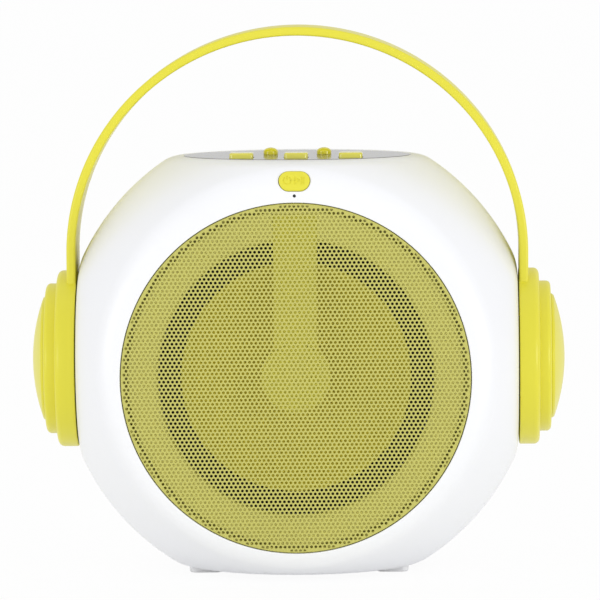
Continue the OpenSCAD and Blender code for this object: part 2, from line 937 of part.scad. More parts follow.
module driver_terminal() {
    color(board_green)
        front_frame(-grille_drop) {
            translate([terminal_x, -terminal_w / 2, terminal_d])
                cube([terminal_t, terminal_w, terminal_h]);
            for (y = [-tag_y, tag_y])
                translate([terminal_x + terminal_t - 0.01, y - tag_w / 2, terminal_d + tag_up])
                    cube([tag_l, tag_w, tag_t]);
        }
}

// Round bar with flat ends swept along a list of points
function unit(v) = v / norm(v);
function heading(path, i) = unit(path[min(i + 1, len(path) - 1)] - path[max(i - 1, 0)]);
function ring(c, t, r, sides) =
    let (u = unit(cross(t, abs(t[2]) < 0.9 ? [0, 0, 1] : [1, 0, 0])), v = cross(t, u))
        [for (k = [0 : sides - 1]) c + r * (cos(360 * k / sides) * u + sin(360 * k / sides) * v)];

// Faces of a tube of rings, closed at both ends
function tube_faces(rings, sides) = concat(
    [[for (k = [0 : sides - 1]) k]],
    [for (i = [0 : rings - 2]) for (k = [0 : sides - 1])
        [i * sides + k, (i + 1) * sides + k, (i + 1) * sides + (k + 1) % sides, i * sides + (k + 1) % sides]],
    [[for (k = [sides - 1 : -1 : 0]) (rings - 1) * sides + k]]);

module swept_bar(path, r, sides) {
    polyhedron(
        points = [for (i = [0 : len(path) - 1]) each ring(path[i], heading(path, i), r, sides)],
        faces = tube_faces(len(path), sides),
        convexity = 8);
}

lead_r = 1.4;
lead_from = [terminal_x + terminal_t + tag_l + 0.1, -terminal_d - 2.5, centre_z - grille_drop - tag_y];
lead_out = 2.8;
lead_run = 14;
lead_drop = 12;
lead_side = 54;
lead_back = 10;
lead_to = [board_w / 2 - lead_run, board_d - 0.2, centre_z + board_up - board_h / 2 + lead_run];
lead_mid = [lead_side, lead_back, lead_to[2] - lead_drop];
lead_path = [lead_from, lead_from + [lead_out, 0, 0],
    lead_from + [1.7 * lead_out, 0.36 * lead_run, -0.42 * lead_drop],
    lead_from + [1.35 * lead_out, 1.2 * lead_run, -lead_drop],
    lead_from + [0.65 * lead_out, 2.2 * lead_run, -1.4 * lead_drop],
    lead_mid + [0.43 * lead_run, -lead_run, 0], lead_mid,
    lead_mid + [-0.43 * lead_run, lead_run, 0.17 * lead_drop],
    lead_to + [0.2 * lead_run, -1.55 * lead_run, -0.5 * lead_drop],
    lead_to + [0.07 * lead_run, -0.85 * lead_run, -0.17 * lead_drop],
    lead_to + [0, -0.35 * lead_run, 0], lead_to];

module speaker_lead() {
    color([0.7, 0.1, 0.1])
        swept_bar(lead_path, lead_r, 8);
}

// Control board under the top panel
module control_board() {
    color(board_green)
        difference() {
            translate([-control_w / 2, control_front, control_top - control_t])
                cube([control_w, control_back - control_front, control_t]);
            for (p = control_posts)
                translate([p[0], p[1], control_top - control_t - eps])
                    cylinder(r = 1.2, h = control_t + 2 * eps, $fn = 24);
        }
}

// One push switch: a square body and a round key, standing on z = 0
switch_w = 6;
switch_key_r = 1.6;

module push_switch(body_h, key) {
    translate([-switch_w / 2, -switch_w / 2, 0])
        cube([switch_w, switch_w, body_h]);
    cylinder(r = switch_key_r, h = body_h + key, $fn = 32);
}

module panel_switches() {
    color(black)
        for (x = button_places)
            translate([x, -button_fore, control_top])
                push_switch(key_body, key_h);
}

pot_clear = 2.2;
pot_h = panel_under - control_top - pot_clear;
pot_w = 10;
pot_l = 11;
pot_neck_r = 3.2;
pot_neck_h = 1.5;

module knob_sockets() {
    color(steel)
        for (side = [-1, 1])
            translate([side * knob_x, knob_y, control_top])
                difference() {
                    union() {
                        translate([-pot_w / 2, -pot_l / 2, 0])
                            cube([pot_w, pot_l, pot_h - pot_neck_h]);
                        cylinder(r = pot_neck_r, h = pot_h, $fn = 32);
                    }
                    translate([0, 0, 1])
                        cylinder(r = shaft_r + turn_gap, h = pot_h, $fn = 32);
                }
}

// Board and switch behind the power button
module power_board() {
    color(board_green)
        power_frame()
            translate([0, 0, -power_board_top - power_board_t])
                linear_extrude(power_board_t)
                    difference() {
                        square([power_board_w, power_board_l], center = true);
                        for (side = [-1, 1])
                            translate([side * power_post_x, 0])
                                circle(1, $fn = 24);
                    }
}

module power_switch() {
    color(black)
        power_frame()
            translate([0, 0, -power_board_top])
                push_switch(switch_h - 0.8, 0.8);
}

module status_light() {
    color(black)
        front_frame()
            translate([0, light_z, half_depth - 7])
                cylinder(r = light_d / 2, h = 6.7, $fn = 24);
}

// Main board on the rear shell's posts
module main_board() {
    color(board_green)
        front_frame()
            difference() {
                translate([-board_w / 2, board_up - board_h / 2, -board_d - board_t])
                    cube([board_w, board_h, board_t]);
                at_main_posts()
                    translate([0, 0, -board_d - board_t - eps])
                        cylinder(r = 1.6, h = board_t + 2 * eps, $fn = 24);
            }
}

// Components as [x, y, width, length, height] from the board's middle; the round ones as [x, y, radius, height]
block_parts = [[14, -28, 16, 14, 2.2], [-16, -30, 12, 12, 1.4], [30, 14, 12, 9, 7]];
can_parts = [[-36, 24, 5, 16], [-23, 24, 5, 16], [-10, 24, 5, 16]];
coil_parts = [[-38, -6, 7, 8], [-20, -6, 7, 8]];

module board_parts() {
    color(black)
        front_frame()
            translate([0, board_up, -board_d]) {
                for (p = can_parts)
                    translate([p[0], p[1], 0])
                        cylinder(r = p[2], h = p[3], $fn = 32);
                for (p = coil_parts)
                    translate([p[0], p[1], 0])
                        tube(p[2], p[2] / 2, p[3]);
                for (p = block_parts)
                    translate([p[0], p[1], 0])
                        cube([p[2], p[3], p[4]]);
            }
}

fins = 7;
fin_t = 1.4;
fin_h = 13;
sink_w = 32;
sink_l = 22;
sink_base = 3;
sink_x = 8;
sink_y = -8;

module heat_sink() {
    color(steel)
        front_frame()
            translate([sink_x, board_up + sink_y, -board_d]) {
                cube([sink_w, sink_l, sink_base]);
                for (i = [0 : fins - 1])
                    translate([i * (sink_w - fin_t) / (fins - 1), 0, 0])
                        cube([fin_t, sink_l, fin_h]);
            }
}

// Battery holder on the rear shell's floor
cell_back = rear_inner - 39;
cell_y = [cell_back - 2 * cell_r - cell_gap, cell_back];
holder_z = centre_z - inner_drop;

module battery_holder() {
    color(black)
        translate([0, 0, holder_z])
            difference() {
                translate([-holder_w / 2, cell_y[0] - cell_r - holder_wall_y, 0])
                    cube([holder_w, holder_l, holder_h]);
                for (y = cell_y)
                    translate([-cell_l / 2 - fit, y, holder_base + cell_r])
                        rotate([0, 90, 0])
                            cylinder(r = cell_r + fit, h = cell_l + 2 * fit, $fn = 48);
            }
}

module battery_cells() {
    color([0.2, 0.4, 0.7])
        for (y = cell_y)
            translate([-cell_l / 2, y, holder_z + holder_base + cell_r])
                rotate([0, 90, 0])
                    rotate_extrude($fn = 48)
                        polygon([[0, 0], [cell_r - 0.6, 0], [cell_r, 0.6], [cell_r, cell_l - 2.6],
                            [cell_r - 1, cell_l - 1.4], [3, cell_l - 1.4], [3, cell_l], [0, cell_l]]);
}

// Sockets at the rear, on a small board
module socket_board() {
    color(board_green)
        difference() {
            translate([-socket_board_w / 2, rear_inner - 1 - socket_board_l, centre_z + socket_floor])
                cube([socket_board_w, socket_board_l, board_t]);
            for (side = [-1, 1])
                for (y = socket_post_y)
                    translate([side * socket_post_x, y, centre_z + socket_floor - eps])
                        cylinder(r = 1.6, h = board_t + 2 * eps, $fn = 24);
        }
}

// A jack socket: a block on the board, a round nose through the rear wall and a blind bore
module jack(x, z, w, length, nose, bore, bore_depth) {
    level = socket_floor + board_t;
    front_frame()
        difference() {
            union() {
                translate([x - w / 2, level, -rear_inner])
                    cube([w, 2 * (z - level), length]);
                translate([x, z, -half_depth])
                    cylinder(r = nose, h = wall + eps, $fn = 48);
            }
            translate([x, z, -half_depth - eps])
                cylinder(r = bore, h = bore_depth + eps, $fn = 32);
        }
}

mic_bore_r = 3.25;
mic_bore_depth = 27;
mic_w = 13;
aux_bore_r = 1.8;
aux_bore_depth = 14;
aux_w = 9;

module mic_jack() {
    color(black)
        jack(mic_x, mic_z, mic_w, mic_bore_depth + 1, mic_nose_r, mic_bore_r, mic_bore_depth);
}

module aux_jack() {
    color(black)
        jack(aux_x, aux_z, aux_w, aux_bore_depth, aux_nose_r, aux_bore_r, aux_bore_depth);
}

charge_l = 9;
charge_t = 0.35;
tongue_w = 6.6;
tongue_t = 0.8;

module charge_socket() {
    hollow_w = charge_w - 2 * charge_t;
    hollow_h = charge_h - 2 * charge_t;
    color(steel)
        front_frame()
            translate([charge_x, charge_z, -half_depth + 0.3])
                difference() {
                    linear_extrude(charge_l)
                        polygon(soft_rect(charge_w, charge_h, charge_h / 2 - 0.01));
                    translate([0, 0, -eps])
                        linear_extrude(charge_l - 1)
                            difference() {
                                polygon(soft_rect(hollow_w, hollow_h, hollow_h / 2 - 0.02));
                                square([tongue_w, tongue_t], center = true);
                            }
                }
}

// Pivot bush: a spool clamped between the two shells, with the handle's hub turning in it
bush_tail = 5.1;
bush_flange_t = 1.6;
bush_step = 2.8;
bush_in = side_inner - bush_tail;
bush_out = side_flat + fit + 1.3;
bush_body_r = bush_r - bush_step;
flange_in = side_inner - bush_flange_t;

module pivot_bush(side) {
    color(steel)
        side_frame(side)
            rotate_extrude($fn = 96)
                polygon([[pivot_r + turn_gap, bush_in], [bush_body_r, bush_in],
                    [bush_body_r, flange_in], [bush_flange_r, flange_in],
                    [bush_flange_r, side_inner - fit], [bush_r, side_inner - fit],
                    [bush_r, side_flat + fit], [bush_flange_r, side_flat + fit],
                    [bush_flange_r, bush_out], [pivot_r + turn_gap, bush_out]]);
}

module pivot_bush_left() { pivot_bush(-1); }
module pivot_bush_right() { pivot_bush(1); }

// Ear cups, in the side frame: padded ring with its hub, stepped cover and domed cap
pad_face = side_flat + pad_reach;
pad_back = side_flat + pad_gap;
hub_end = bush_in - slip;
band_a = side_flat + band_stand;
band_in = band_a - band_t;
band_screw_y = 9;
band_screw_up = 31;
band_head_r = 2.8;
band_head_h = 1.3;
band_seat = band_in + band_head_h + fit;
screw_reach = 2;
block_side = 3;
spigot_r = 12;
spigot_depth = 1;
cover_hole_r = cap_r - 8;

module ear_pad(side) {
    color(yellow)
        side_frame(side)
            difference() {
                union() {
                    rotate_extrude($fn = 144)
                        polygon(concat(
                            [[0, hub_end], [pivot_r, hub_end], [pivot_r, pad_face - pad_wall],
                                [pad_r - pad_wall, pad_face - pad_wall], [pad_r - pad_wall, pad_back],
                                [pad_r - 0.8, pad_back], [pad_r, pad_back + 0.8]],
                            arc([pad_r - pad_round, pad_face - pad_round], pad_round, 0, 90, 8),
                            [[spigot_r + fit, pad_face], [spigot_r + fit, pad_face - spigot_depth],
                                [0, pad_face - spigot_depth]]));
                    intersection() {
                        translate([-band_w / 2 - block_side, leg_end - block_side, bush_out + slip])
                            cube([band_w + 2 * block_side, pad_r, pad_face - pad_wall - bush_out]);
                        cylinder(r = pad_r - pad_wall + eps, h = pad_face, $fn = 144);
                    }
                }
                translate([-band_w / 2 - fit, leg_end - fit, pad_back - eps])
                    cube([band_w + 2 * fit, pad_r, band_a + fit + eps - pad_back]);
                translate([0, 0, hub_end - eps])
                    cylinder(r = pivot_screw_r + fit, h = pivot_screw_l, $fn = 24);
                at_band_screws()
                    translate([0, 0, band_in])
                        cylinder(r = shank_r + fit, h = band_t + screw_reach + 0.3, $fn = 24);
            }
}

module ear_pad_left() { ear_pad(-1); }
module ear_pad_right() { ear_pad(1); }

module cup_cover(side) {
    face = pad_face + cover_t;
    edge = 2.2;
    shell = 2.2;
    color(yellow)
        side_frame(side)
            rotate_extrude($fn = 120)
                polygon(concat(
                    [[cover_hole_r, face], [cover_hole_r, face - shell], [cover_r - shell, face - shell],
                        [cover_r - shell, pad_face], [cover_r, pad_face]],
                    arc([cover_r - edge, face - edge], edge, 0, 90, 7)));
}

module cup_cover_left() { cup_cover(-1); }
module cup_cover_right() { cup_cover(1); }

// Domed cap: a low step and a dome, with a spigot that passes through the cover into the ring
module cup_cap(side) {
    base = pad_face + cover_t;
    step = 1.4;
    shell = 2;
    rise = cap_h - step;
    sphere_r = (pow(cap_r, 2) + pow(rise, 2)) / (2 * rise);
    inner_r = sphere_r - shell;
    centre = base + cap_h - sphere_r;
    rim_in = cover_hole_r - fit;
    color(yellow)
        side_frame(side)
            rotate_extrude($fn = 120)
                polygon(concat(
                    [[0, pad_face - spigot_depth + fit], [spigot_r, pad_face - spigot_depth + fit]],
                    arc([0, centre], inner_r, 90 - asin(spigot_r / inner_r),
                        90 - asin((rim_in - shell) / inner_r), 4),
                    [[rim_in - shell, base - 1.5], [rim_in, base - 1.5], [rim_in, base], [cap_r - 0.4, base],
                        [cap_r, base + 0.4]],
                    arc([0, centre], sphere_r, 90 - asin(cap_r / sphere_r), 90, 14)));
}

module cup_cap_left() { cup_cap(-1); }
module cup_cap_right() { cup_cap(1); }

washer_r = 14;
washer_t = 1.5;
pivot_screw_r = 1.6;
pivot_screw_l = 10;

module pivot_washers() {
    color(steel)
        for (side = [-1, 1])
            side_frame(side)
                translate([0, 0, hub_end - washer_t])
                    tube(washer_r, pivot_screw_r + 0.5, washer_t);
}

module pivot_screws() {
    color(steel)
        for (side = [-1, 1])
            side_frame(side)
                translate([0, 0, hub_end - washer_t])
                    mirror([0, 0, 1])
                        screw(pivot_head, pivot_screw_r, pivot_screw_l);
}

// Handle band: a rounded flat section swept over a full arch with straight legs
leg_steps = 3;
arch_steps = 44;

// Point of the band's middle line and its inward normal, in the XZ plane from the body's centre
function arch_point(a, b, t) =
    [a * (cos(t) < 0 ? -1 : 1) * pow(abs(cos(t)), 2 / fullness), arch_start + b * pow(sin(t), 2 / fullness)];

band_ends = concat(
    [for (i = [0 : leg_steps - 1]) let (z = leg_end + (arch_start - leg_end) * i / leg_steps)
        [[band_a, z], [band_in, z]]],
    [for (i = [0 : arch_steps]) let (t = 180 * i / arch_steps)
        [arch_point(band_a, arch_rise, t), arch_point(band_in, arch_rise - band_t, t)]],
    [for (i = [leg_steps - 1 : -1 : 0]) let (z = leg_end + (arch_start - leg_end) * i / leg_steps)
        [[-band_a, z], [-band_in, z]]]);

// Section of the band: first number across the width, second from the outer face (0) to the inner (1)
band_section = [for (p = soft_rect(band_w, band_t, band_round, 3)) [p[0], 0.5 - p[1] / band_t]];

module handle_band() {
    sides = len(band_section);
    color(yellow)
        difference() {
            translate([0, 0, centre_z])
                polyhedron(
                    points = [for (e = band_ends) for (s = band_section)
                        let (p = e[0] + (e[1] - e[0]) * s[1]) [p[0], s[0], p[1]]],
                    faces = tube_faces(len(band_ends), sides),
                    convexity = 10);
            for (side = [-1, 1])
                side_frame(side)
                    at_band_screws() {
                        translate([0, 0, band_in - 2])
                            cylinder(r = shank_r + fit, h = band_t + 4, $fn = 24);
                        translate([0, 0, band_in - 2])
                            cylinder(r = band_head_r + 0.2, h = band_seat - band_in + 2, $fn = 32);
                    }
        }
}

module at_band_screws() {
    for (y = [-band_screw_y, band_screw_y])
        translate([y, band_screw_up, 0])
            children();
}

module band_screws() {
    color(steel)
        for (side = [-1, 1])
            side_frame(side)
                at_band_screws()
                    translate([0, 0, band_seat])
                        mirror([0, 0, 1])
                            screw([band_head_r, band_head_h], shank_r, band_a + screw_reach - band_seat);
}

// Power button: an oval cap whose face follows the body, and a flat pad behind the wall
module power_button() {
    pad_top = -collar_end - slip;
    edge_steps = [[0, 0.5], [0.15, 0.25], [0.4, 0.08], [0.75, 0]];
    color(yellow) {
        for (s = edge_steps)
            intersection() {
                front_frame()
                    half_body(s[1] - power_rise);
                power_frame()
                    translate([0, 0, pad_top - eps])
                        linear_extrude(eps + 4 - pad_top)
                            power_outline(-s[0]);
            }
        power_frame()
            translate([0, 0, pad_top - power_pad_t])
                linear_extrude(power_pad_t)
                    polygon(soft_rect(power_w + 2.4, power_l - 1, 2));
    }
}

// Top button: a block with soft edges and a flange that keeps it under the panel
module top_button(place) {
    color(yellow)
        translate([place, -button_fore, panel_under - slip - flange_plate]) {
            linear_extrude(flange_plate)
                polygon(soft_rect(button_w + 2 * flange_grow, button_l + 2 * flange_grow, button_round));
            soft_block(button_w, button_l, button_round,
                flange_plate + slip + panel_t + button_rise, 0.8);
        }
}

module button_left() { top_button(button_places[0]); }
module button_middle() { top_button(button_places[1]); }
module button_right() { top_button(button_places[2]); }

// Knob: a short round skirt under a dome, bored for its shaft
knob_lift = 0.4;
shaft_top = panel_z + knob_h - 1.6;

module knob(side) {
    head_r = knob_d / 2;
    dome_h = head_r * 0.62;
    head_z = knob_h - dome_h;
    color(deep_yellow)
        translate([side * knob_x, knob_y, panel_z])
            difference() {
                rotate_extrude($fn = 64)
                    polygon(concat(
                        [[0, knob_lift], [head_r - 0.2, knob_lift], [head_r, knob_lift + 0.2]],
                        [for (a = [0 : 9 : 90]) [head_r * cos(a), head_z + dome_h * sin(a)]]));
                translate([0, 0, -eps])
                    cylinder(r = shaft_r + turn_gap, h = shaft_top - panel_z + eps + fit, $fn = 32);
                translate([-0.3, 1.2, knob_h - 0.5])
                    cube([0.6, head_r, 1]);
            }
}

module knob_left() { knob(-1); }
module knob_right() { knob(1); }

module knob_shaft(side) {
    foot = control_top + 1 + slip;
    color(steel)
        translate([side * knob_x, knob_y, foot])
            cylinder(r = shaft_r, h = shaft_top - foot, $fn = 32);
}

module knob_shaft_left() { knob_shaft(-1); }
module knob_shaft_right() { knob_shaft(1); }

// Screws
module shell_screws() {
    color(steel)
        front_frame()
            at_bosses()
                translate([0, 0, -recess_floor])
                    mirror([0, 0, 1])
                        screw(big_head, shank_r - fit, recess_floor + 2.4 * bite);
}

module baffle_screws() {
    color(steel)
        front_frame(-grille_drop)
            for (a = baffle_angles)
                rotate([0, 0, a])
                    translate([baffle_screw_r, 0, shelf_d - shelf_t])
                        mirror([0, 0, 1])
                            screw(small_head, shank_r, shelf_t + bite);
}

module driver_screws() {
    color(steel)
        front_frame(-grille_drop)
            for (a = driver_angles)
                rotate([0, 0, a])
                    translate([driver_screw_r, 0, flange_d - flange_t])
                        mirror([0, 0, 1])
                            screw(small_head, shank_r, flange_t + bite);
}

module board_screws() {
    color(steel) {
        front_frame()
            at_main_posts()
                translate([0, 0, -board_d])
                    screw(board_head, post_bore - fit, board_t + bite);
        for (side = [-1, 1])
            for (y = socket_post_y)
                translate([side * socket_post_x, y, centre_z + socket_floor + board_t])
                    screw(board_head, post_bore - fit, board_t + bite);
        for (p = control_posts)
            translate([p[0], p[1], control_top - control_t])
                mirror([0, 0, 1])
                    screw(panel_head, panel_post_bore - fit, control_t + bite);
    }
}

front_shell();
rear_shell();
feet();
top_panel();
front_grille();
baffle_ring();
bridge_arm();
hub_dome();
light_board();
driver_basket();
driver_surround();
driver_cone();
dust_cap();
driver_spider();
voice_coil();
driver_top_plate();
driver_magnet();
driver_yoke();
driver_terminal();
speaker_lead();
control_board();
panel_switches();
knob_sockets();
power_board();
power_switch();
status_light();
main_board();
board_parts();
heat_sink();
battery_holder();
battery_cells();
socket_board();
mic_jack();
aux_jack();
charge_socket();
pivot_bush_left();
pivot_bush_right();
shell_screws();
baffle_screws();
driver_screws();
board_screws();
power_button();
button_left();
button_middle();
button_right();
knob_left();
knob_right();
knob_shaft_left();
knob_shaft_right();
handle_band();
ear_pad_left();
ear_pad_right();
cup_cover_left();
cup_cover_right();
cup_cap_left();
cup_cap_right();
pivot_washers();
pivot_screws();
band_screws();
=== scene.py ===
# Looks of the round karaoke speaker: smooth pieces, materials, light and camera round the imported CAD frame.
# Lengths are in millimetres until they become mesh vertices; the front faces -Y.
import json
from math import asin, atan2, ceil, cos, degrees, hypot, pi, radians, sin, sqrt, tan

import bmesh
import bpy
from mathutils import Matrix, Vector


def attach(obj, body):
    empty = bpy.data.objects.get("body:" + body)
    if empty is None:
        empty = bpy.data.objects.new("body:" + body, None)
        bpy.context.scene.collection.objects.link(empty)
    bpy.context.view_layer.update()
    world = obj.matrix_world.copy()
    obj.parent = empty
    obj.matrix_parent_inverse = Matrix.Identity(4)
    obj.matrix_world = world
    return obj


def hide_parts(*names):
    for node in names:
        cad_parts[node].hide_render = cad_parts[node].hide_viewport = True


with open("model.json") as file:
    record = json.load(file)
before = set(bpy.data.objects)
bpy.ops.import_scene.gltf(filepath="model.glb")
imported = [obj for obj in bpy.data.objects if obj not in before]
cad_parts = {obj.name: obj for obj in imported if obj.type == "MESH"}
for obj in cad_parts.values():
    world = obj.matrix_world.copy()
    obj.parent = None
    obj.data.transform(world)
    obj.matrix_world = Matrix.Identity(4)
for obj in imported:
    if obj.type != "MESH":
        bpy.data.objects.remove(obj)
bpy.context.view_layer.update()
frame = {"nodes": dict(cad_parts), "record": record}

MM = 0.001
scene = bpy.context.scene

# Sizes from the CAD model
CENTRE_Z = 105.0          # centre of the round body
BODY_R, CROWN_R, CORNER_R, HALF_DEPTH = 119.0, 128.0, 13.0, 75.0
WALL = 2.6
FLAT_UP, FLAT_DOWN, FLAT_SIDE = 101.0, 102.5, 109.4
GRILLE_DROP, GRILLE_R, WELL_R = 4.3, 85.5, 85.9
GRILLE_FACE, RIM_END = 74.6, 70.2
SHELF_D, SHELF_R, SHELF_T = 62.5, 77.0, 2.5
WELL_MID, WELL_T = 68.0, 1.8
BAFFLE_FACE = 71.5
BAFFLE_HOLE_R = 67.5
TOP_Z, PANEL_Z, PANEL_UNDER = 206.0, 206.2, 204.4
PANEL_A, PANEL_B = 56.5, 47.5
BUTTON_W, BUTTON_L, BUTTON_Y, BUTTON_TOP = 11.7, 13.0, -26.0, 208.7
BUTTON_X = {"left": -27.0, "middle": 0.0, "right": 27.0}
KNOB_X, KNOB_Y, KNOB_D, KNOB_H, DOME_H = 13.3, 4.0, 7.3, 3.5, 2.26
POWER_Z, POWER_W, POWER_L, POWER_RISE = 92.3, 15.2, 9.9, 0.97
LIGHT_Z, LIGHT_D = 84.9, 1.4
PAD_R, PAD_IN, PAD_OUT, PAD_WALL = 44.0, 109.9, 120.0, 2.7
COVER_R, COVER_T = 37.5, 5.8
CAP_R, CAP_H = 31.0, 7.0
PIVOT_R, PIVOT_HOLE_R, HUB_END = 9.95, 15.9, 101.4
BAND_W, BAND_T, BAND_A, ARCH_RISE, ARCH_START, LEG_END, FULLNESS = 42.0, 4.4, 114.6, 112.0, 53.5, 22.0, 2.0
ARM_W, ARM_T, ARM_TOP, HUB_R, DOME_RISE = 21.5, 2.5, 80.0, 17.0, 2.0
FOOT_W, FOOT_L, FOOT_H, FOOT_X, FOOT_Y, FOOT_CORNER = 16.0, 22.0, 2.5, 46.4, 17.0, 4


# Materials
def principled(name):
    mat = bpy.data.materials.new(name)
    mat.use_nodes = True
    return mat, mat.node_tree, mat.node_tree.nodes["Principled BSDF"]


def noise(tree, scale, detail=3.0, rough=0.5):
    """Noise over the object's own coordinates, in cycles per metre."""
    coords = tree.nodes.new("ShaderNodeTexCoord")
    node = tree.nodes.new("ShaderNodeTexNoise")
    node.inputs["Scale"].default_value = scale
    node.inputs["Detail"].default_value = detail
    node.inputs["Roughness"].default_value = rough
    tree.links.new(coords.outputs["Object"], node.inputs["Vector"])
    return node.outputs["Fac"]


def remap(tree, value, low, high, start=0.3, end=0.7):
    node = tree.nodes.new("ShaderNodeMapRange")
    node.inputs["From Min"].default_value = start
    node.inputs["From Max"].default_value = end
    node.inputs["To Min"].default_value = low
    node.inputs["To Max"].default_value = high
    tree.links.new(value, node.inputs["Value"])
    return node.outputs["Result"]


def mix(tree, value, first, second):
    node = tree.nodes.new("ShaderNodeMix")
    node.data_type = "RGBA"
    node.inputs["A"].default_value = (*first, 1)
    node.inputs["B"].default_value = (*second, 1)
    tree.links.new(value, node.inputs["Factor"])
    return node.outputs["Result"]


def bump(tree, shader, value, strength, distance):
    node = tree.nodes.new("ShaderNodeBump")
    node.inputs["Strength"].default_value = strength
    node.inputs["Distance"].default_value = distance
    tree.links.new(value, node.inputs["Height"])
    tree.links.new(node.outputs["Normal"], shader.inputs["Normal"])


def linear(rgb):
    """Linear colour of an sRGB colour given as 0 to 255."""
    return tuple((c / 255 / 12.92) if c <= 10 else ((c / 255 + 0.055) / 1.055) ** 2.4 for c in rgb)


def shade(rgb, factor):
    return tuple(min(1.0, c * factor) for c in rgb)


def surface(name, rgb, rough, metal=0.0, coat=0.0, vary=0.03, grain=900.0, relief=0.05, depth=0.00004,
            sheen=0.0, blotch=18.0, specular=0.5, coat_rough=0.08):
    """A finish with slow colour variation, uneven roughness and a fine relief."""
    mat, tree, shader = principled(name)
    base = linear(rgb)
    slow = noise(tree, blotch, 2.0)
    tree.links.new(mix(tree, remap(tree, slow, 0, 1), shade(base, 1 - vary), shade(base, 1 + vary * 0.6)),
                   shader.inputs["Base Color"])
    fine = noise(tree, grain, 3.0, 0.55)
    tree.links.new(remap(tree, slow, rough * 0.88, rough * 1.14), shader.inputs["Roughness"])
    shader.inputs["Metallic"].default_value = metal
    shader.inputs["Specular IOR Level"].default_value = specular
    shader.inputs["Coat Weight"].default_value = coat
    shader.inputs["Coat Roughness"].default_value = coat_rough
    shader.inputs["Sheen Weight"].default_value = sheen
    bump(tree, shader, fine, relief, depth)
    return mat


MATERIALS = {
    "white_plastic": surface("white_plastic", (249, 250, 253), 0.34, vary=0.006, grain=260, relief=0.04),
    "white_rubber": surface("white_rubber", (250, 250, 251), 0.6, vary=0.02, grain=2200, relief=0.12),
    "yellow_plastic": surface("yellow_plastic", (233, 225, 60), 0.34, vary=0.012, grain=2600, relief=0.03),
    "knob_plastic": surface("knob_plastic", (240, 230, 44), 0.25, coat=0.4, vary=0.02, grain=600,
                            relief=0.04),
    "grey_panel": surface("grey_panel", (112, 111, 118), 0.1, specular=0.15, vary=0.02, grain=220,
                          relief=0.01, coat_rough=0.05),
    "grille_paint": surface("grille_paint", (199, 195, 101), 0.5, vary=0.02, grain=1800, relief=0.06),
    "cone_paper": surface("cone_paper", (226, 214, 70), 0.7, vary=0.05, grain=1400, relief=0.35,
                          depth=0.0001),
    "black_foam": surface("black_foam", (44, 39, 8), 0.8, vary=0.1, grain=1600, relief=0.3, depth=0.0001),
    "spider_cloth": surface("spider_cloth", (200, 176, 110), 0.9, vary=0.1, grain=2400, relief=0.5,
                            sheen=0.2),
    "zinc_steel": surface("zinc_steel", (196, 198, 202), 0.32, metal=1.0, vary=0.05, grain=1200, relief=0.1),
    "ferrite": surface("ferrite", (52, 52, 54), 0.65, vary=0.12, grain=900, relief=0.3),
    "copper": surface("copper", (196, 118, 66), 0.35, metal=1.0, vary=0.06, grain=3000, relief=0.3),
    "circuit_board": surface("circuit_board", (22, 92, 48), 0.35, vary=0.12, grain=700, relief=0.15),
    "black_plastic": surface("black_plastic", (30, 30, 31), 0.45, vary=0.08, grain=1400, relief=0.12),
    "cell_wrap": surface("cell_wrap", (60, 110, 180), 0.28, vary=0.05, grain=500, relief=0.1),
    # painted reflection: the keys' yellow plastic made paler than the rest, standing in for the white
    # reflected in their glossy tops
    "key_yellow_painted_reflection": surface("key_yellow_painted_reflection", (236, 229, 88), 0.2, coat=0.5, vary=0.012, grain=2600, relief=0.02),
    # painted light: the bridge's yellow plastic made paler, standing in for the light on the arm and hub just
    # behind the grille
    "bridge_yellow_painted_light": surface("bridge_yellow_painted_light", (232, 225, 84), 0.38, vary=0.012, grain=2600, relief=0.03),
    # painted light: the baffle's yellow plastic made much paler, making up for the shade it lies in behind
    # the grille
    "baffle_yellow_painted_light": surface("baffle_yellow_painted_light", (238, 232, 130), 0.4, vary=0.012, grain=2600, relief=0.03),
    "wire_red": surface("wire_red", (170, 28, 28), 0.4, vary=0.05, grain=1200, relief=0.1),
}

SLOT = {part["node"]: part["material_slot"] for part in frame["record"]["subparts"]}
for node, obj in frame["nodes"].items():
    material = MATERIALS[SLOT[node]]
    if obj.data.materials:
        for index in range(len(obj.data.materials)):
            obj.material_slots[index].material = material
    else:
        obj.data.materials.append(material)


# Mesh tools
def add(name, verts, faces, body, slot, *nodes, sharp=32, look=None):
    """A piece from vertices in mm, smooth except at sharp edges. It rides on a body and stands for CAD nodes.
    Its look is its slot's material unless another is named."""
    mesh = bpy.data.meshes.new(name)
    mesh.from_pydata([(x * MM, y * MM, z * MM) for x, y, z in verts], [], faces)
    work = bmesh.new()
    work.from_mesh(mesh)
    bmesh.ops.remove_doubles(work, verts=work.verts, dist=1e-7)
    bmesh.ops.recalc_face_normals(work, faces=work.faces)
    work.to_mesh(mesh)
    work.free()
    obj = bpy.data.objects.new(name, mesh)
    scene.collection.objects.link(obj)
    mesh.materials.append(MATERIALS[look or slot])
    smooth(obj, sharp)
    if body:
        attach(obj, body)
        if nodes:
            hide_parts(*nodes)
    return obj


def smooth(obj, sharp):
    mesh = obj.data
    mesh.polygons.foreach_set("use_smooth", [True] * len(mesh.polygons))
    mesh.set_sharp_from_angle(angle=radians(sharp))


def carve(obj, cutters, sharp=32):
    """Takes the cutters out of obj, and applies it."""
    for cutter in cutters:
        step = obj.modifiers.new("cut", "BOOLEAN")
        step.operation = "DIFFERENCE"
        step.solver = "EXACT"
        step.object = cutter
    bpy.context.view_layer.update()
    done = bpy.data.meshes.new_from_object(obj.evaluated_get(bpy.context.evaluated_depsgraph_get()))
    obj.modifiers.clear()
    old, obj.data = obj.data, done
    bpy.data.meshes.remove(old)
    for cutter in cutters:
        bpy.data.objects.remove(cutter)
    smooth(obj, sharp)


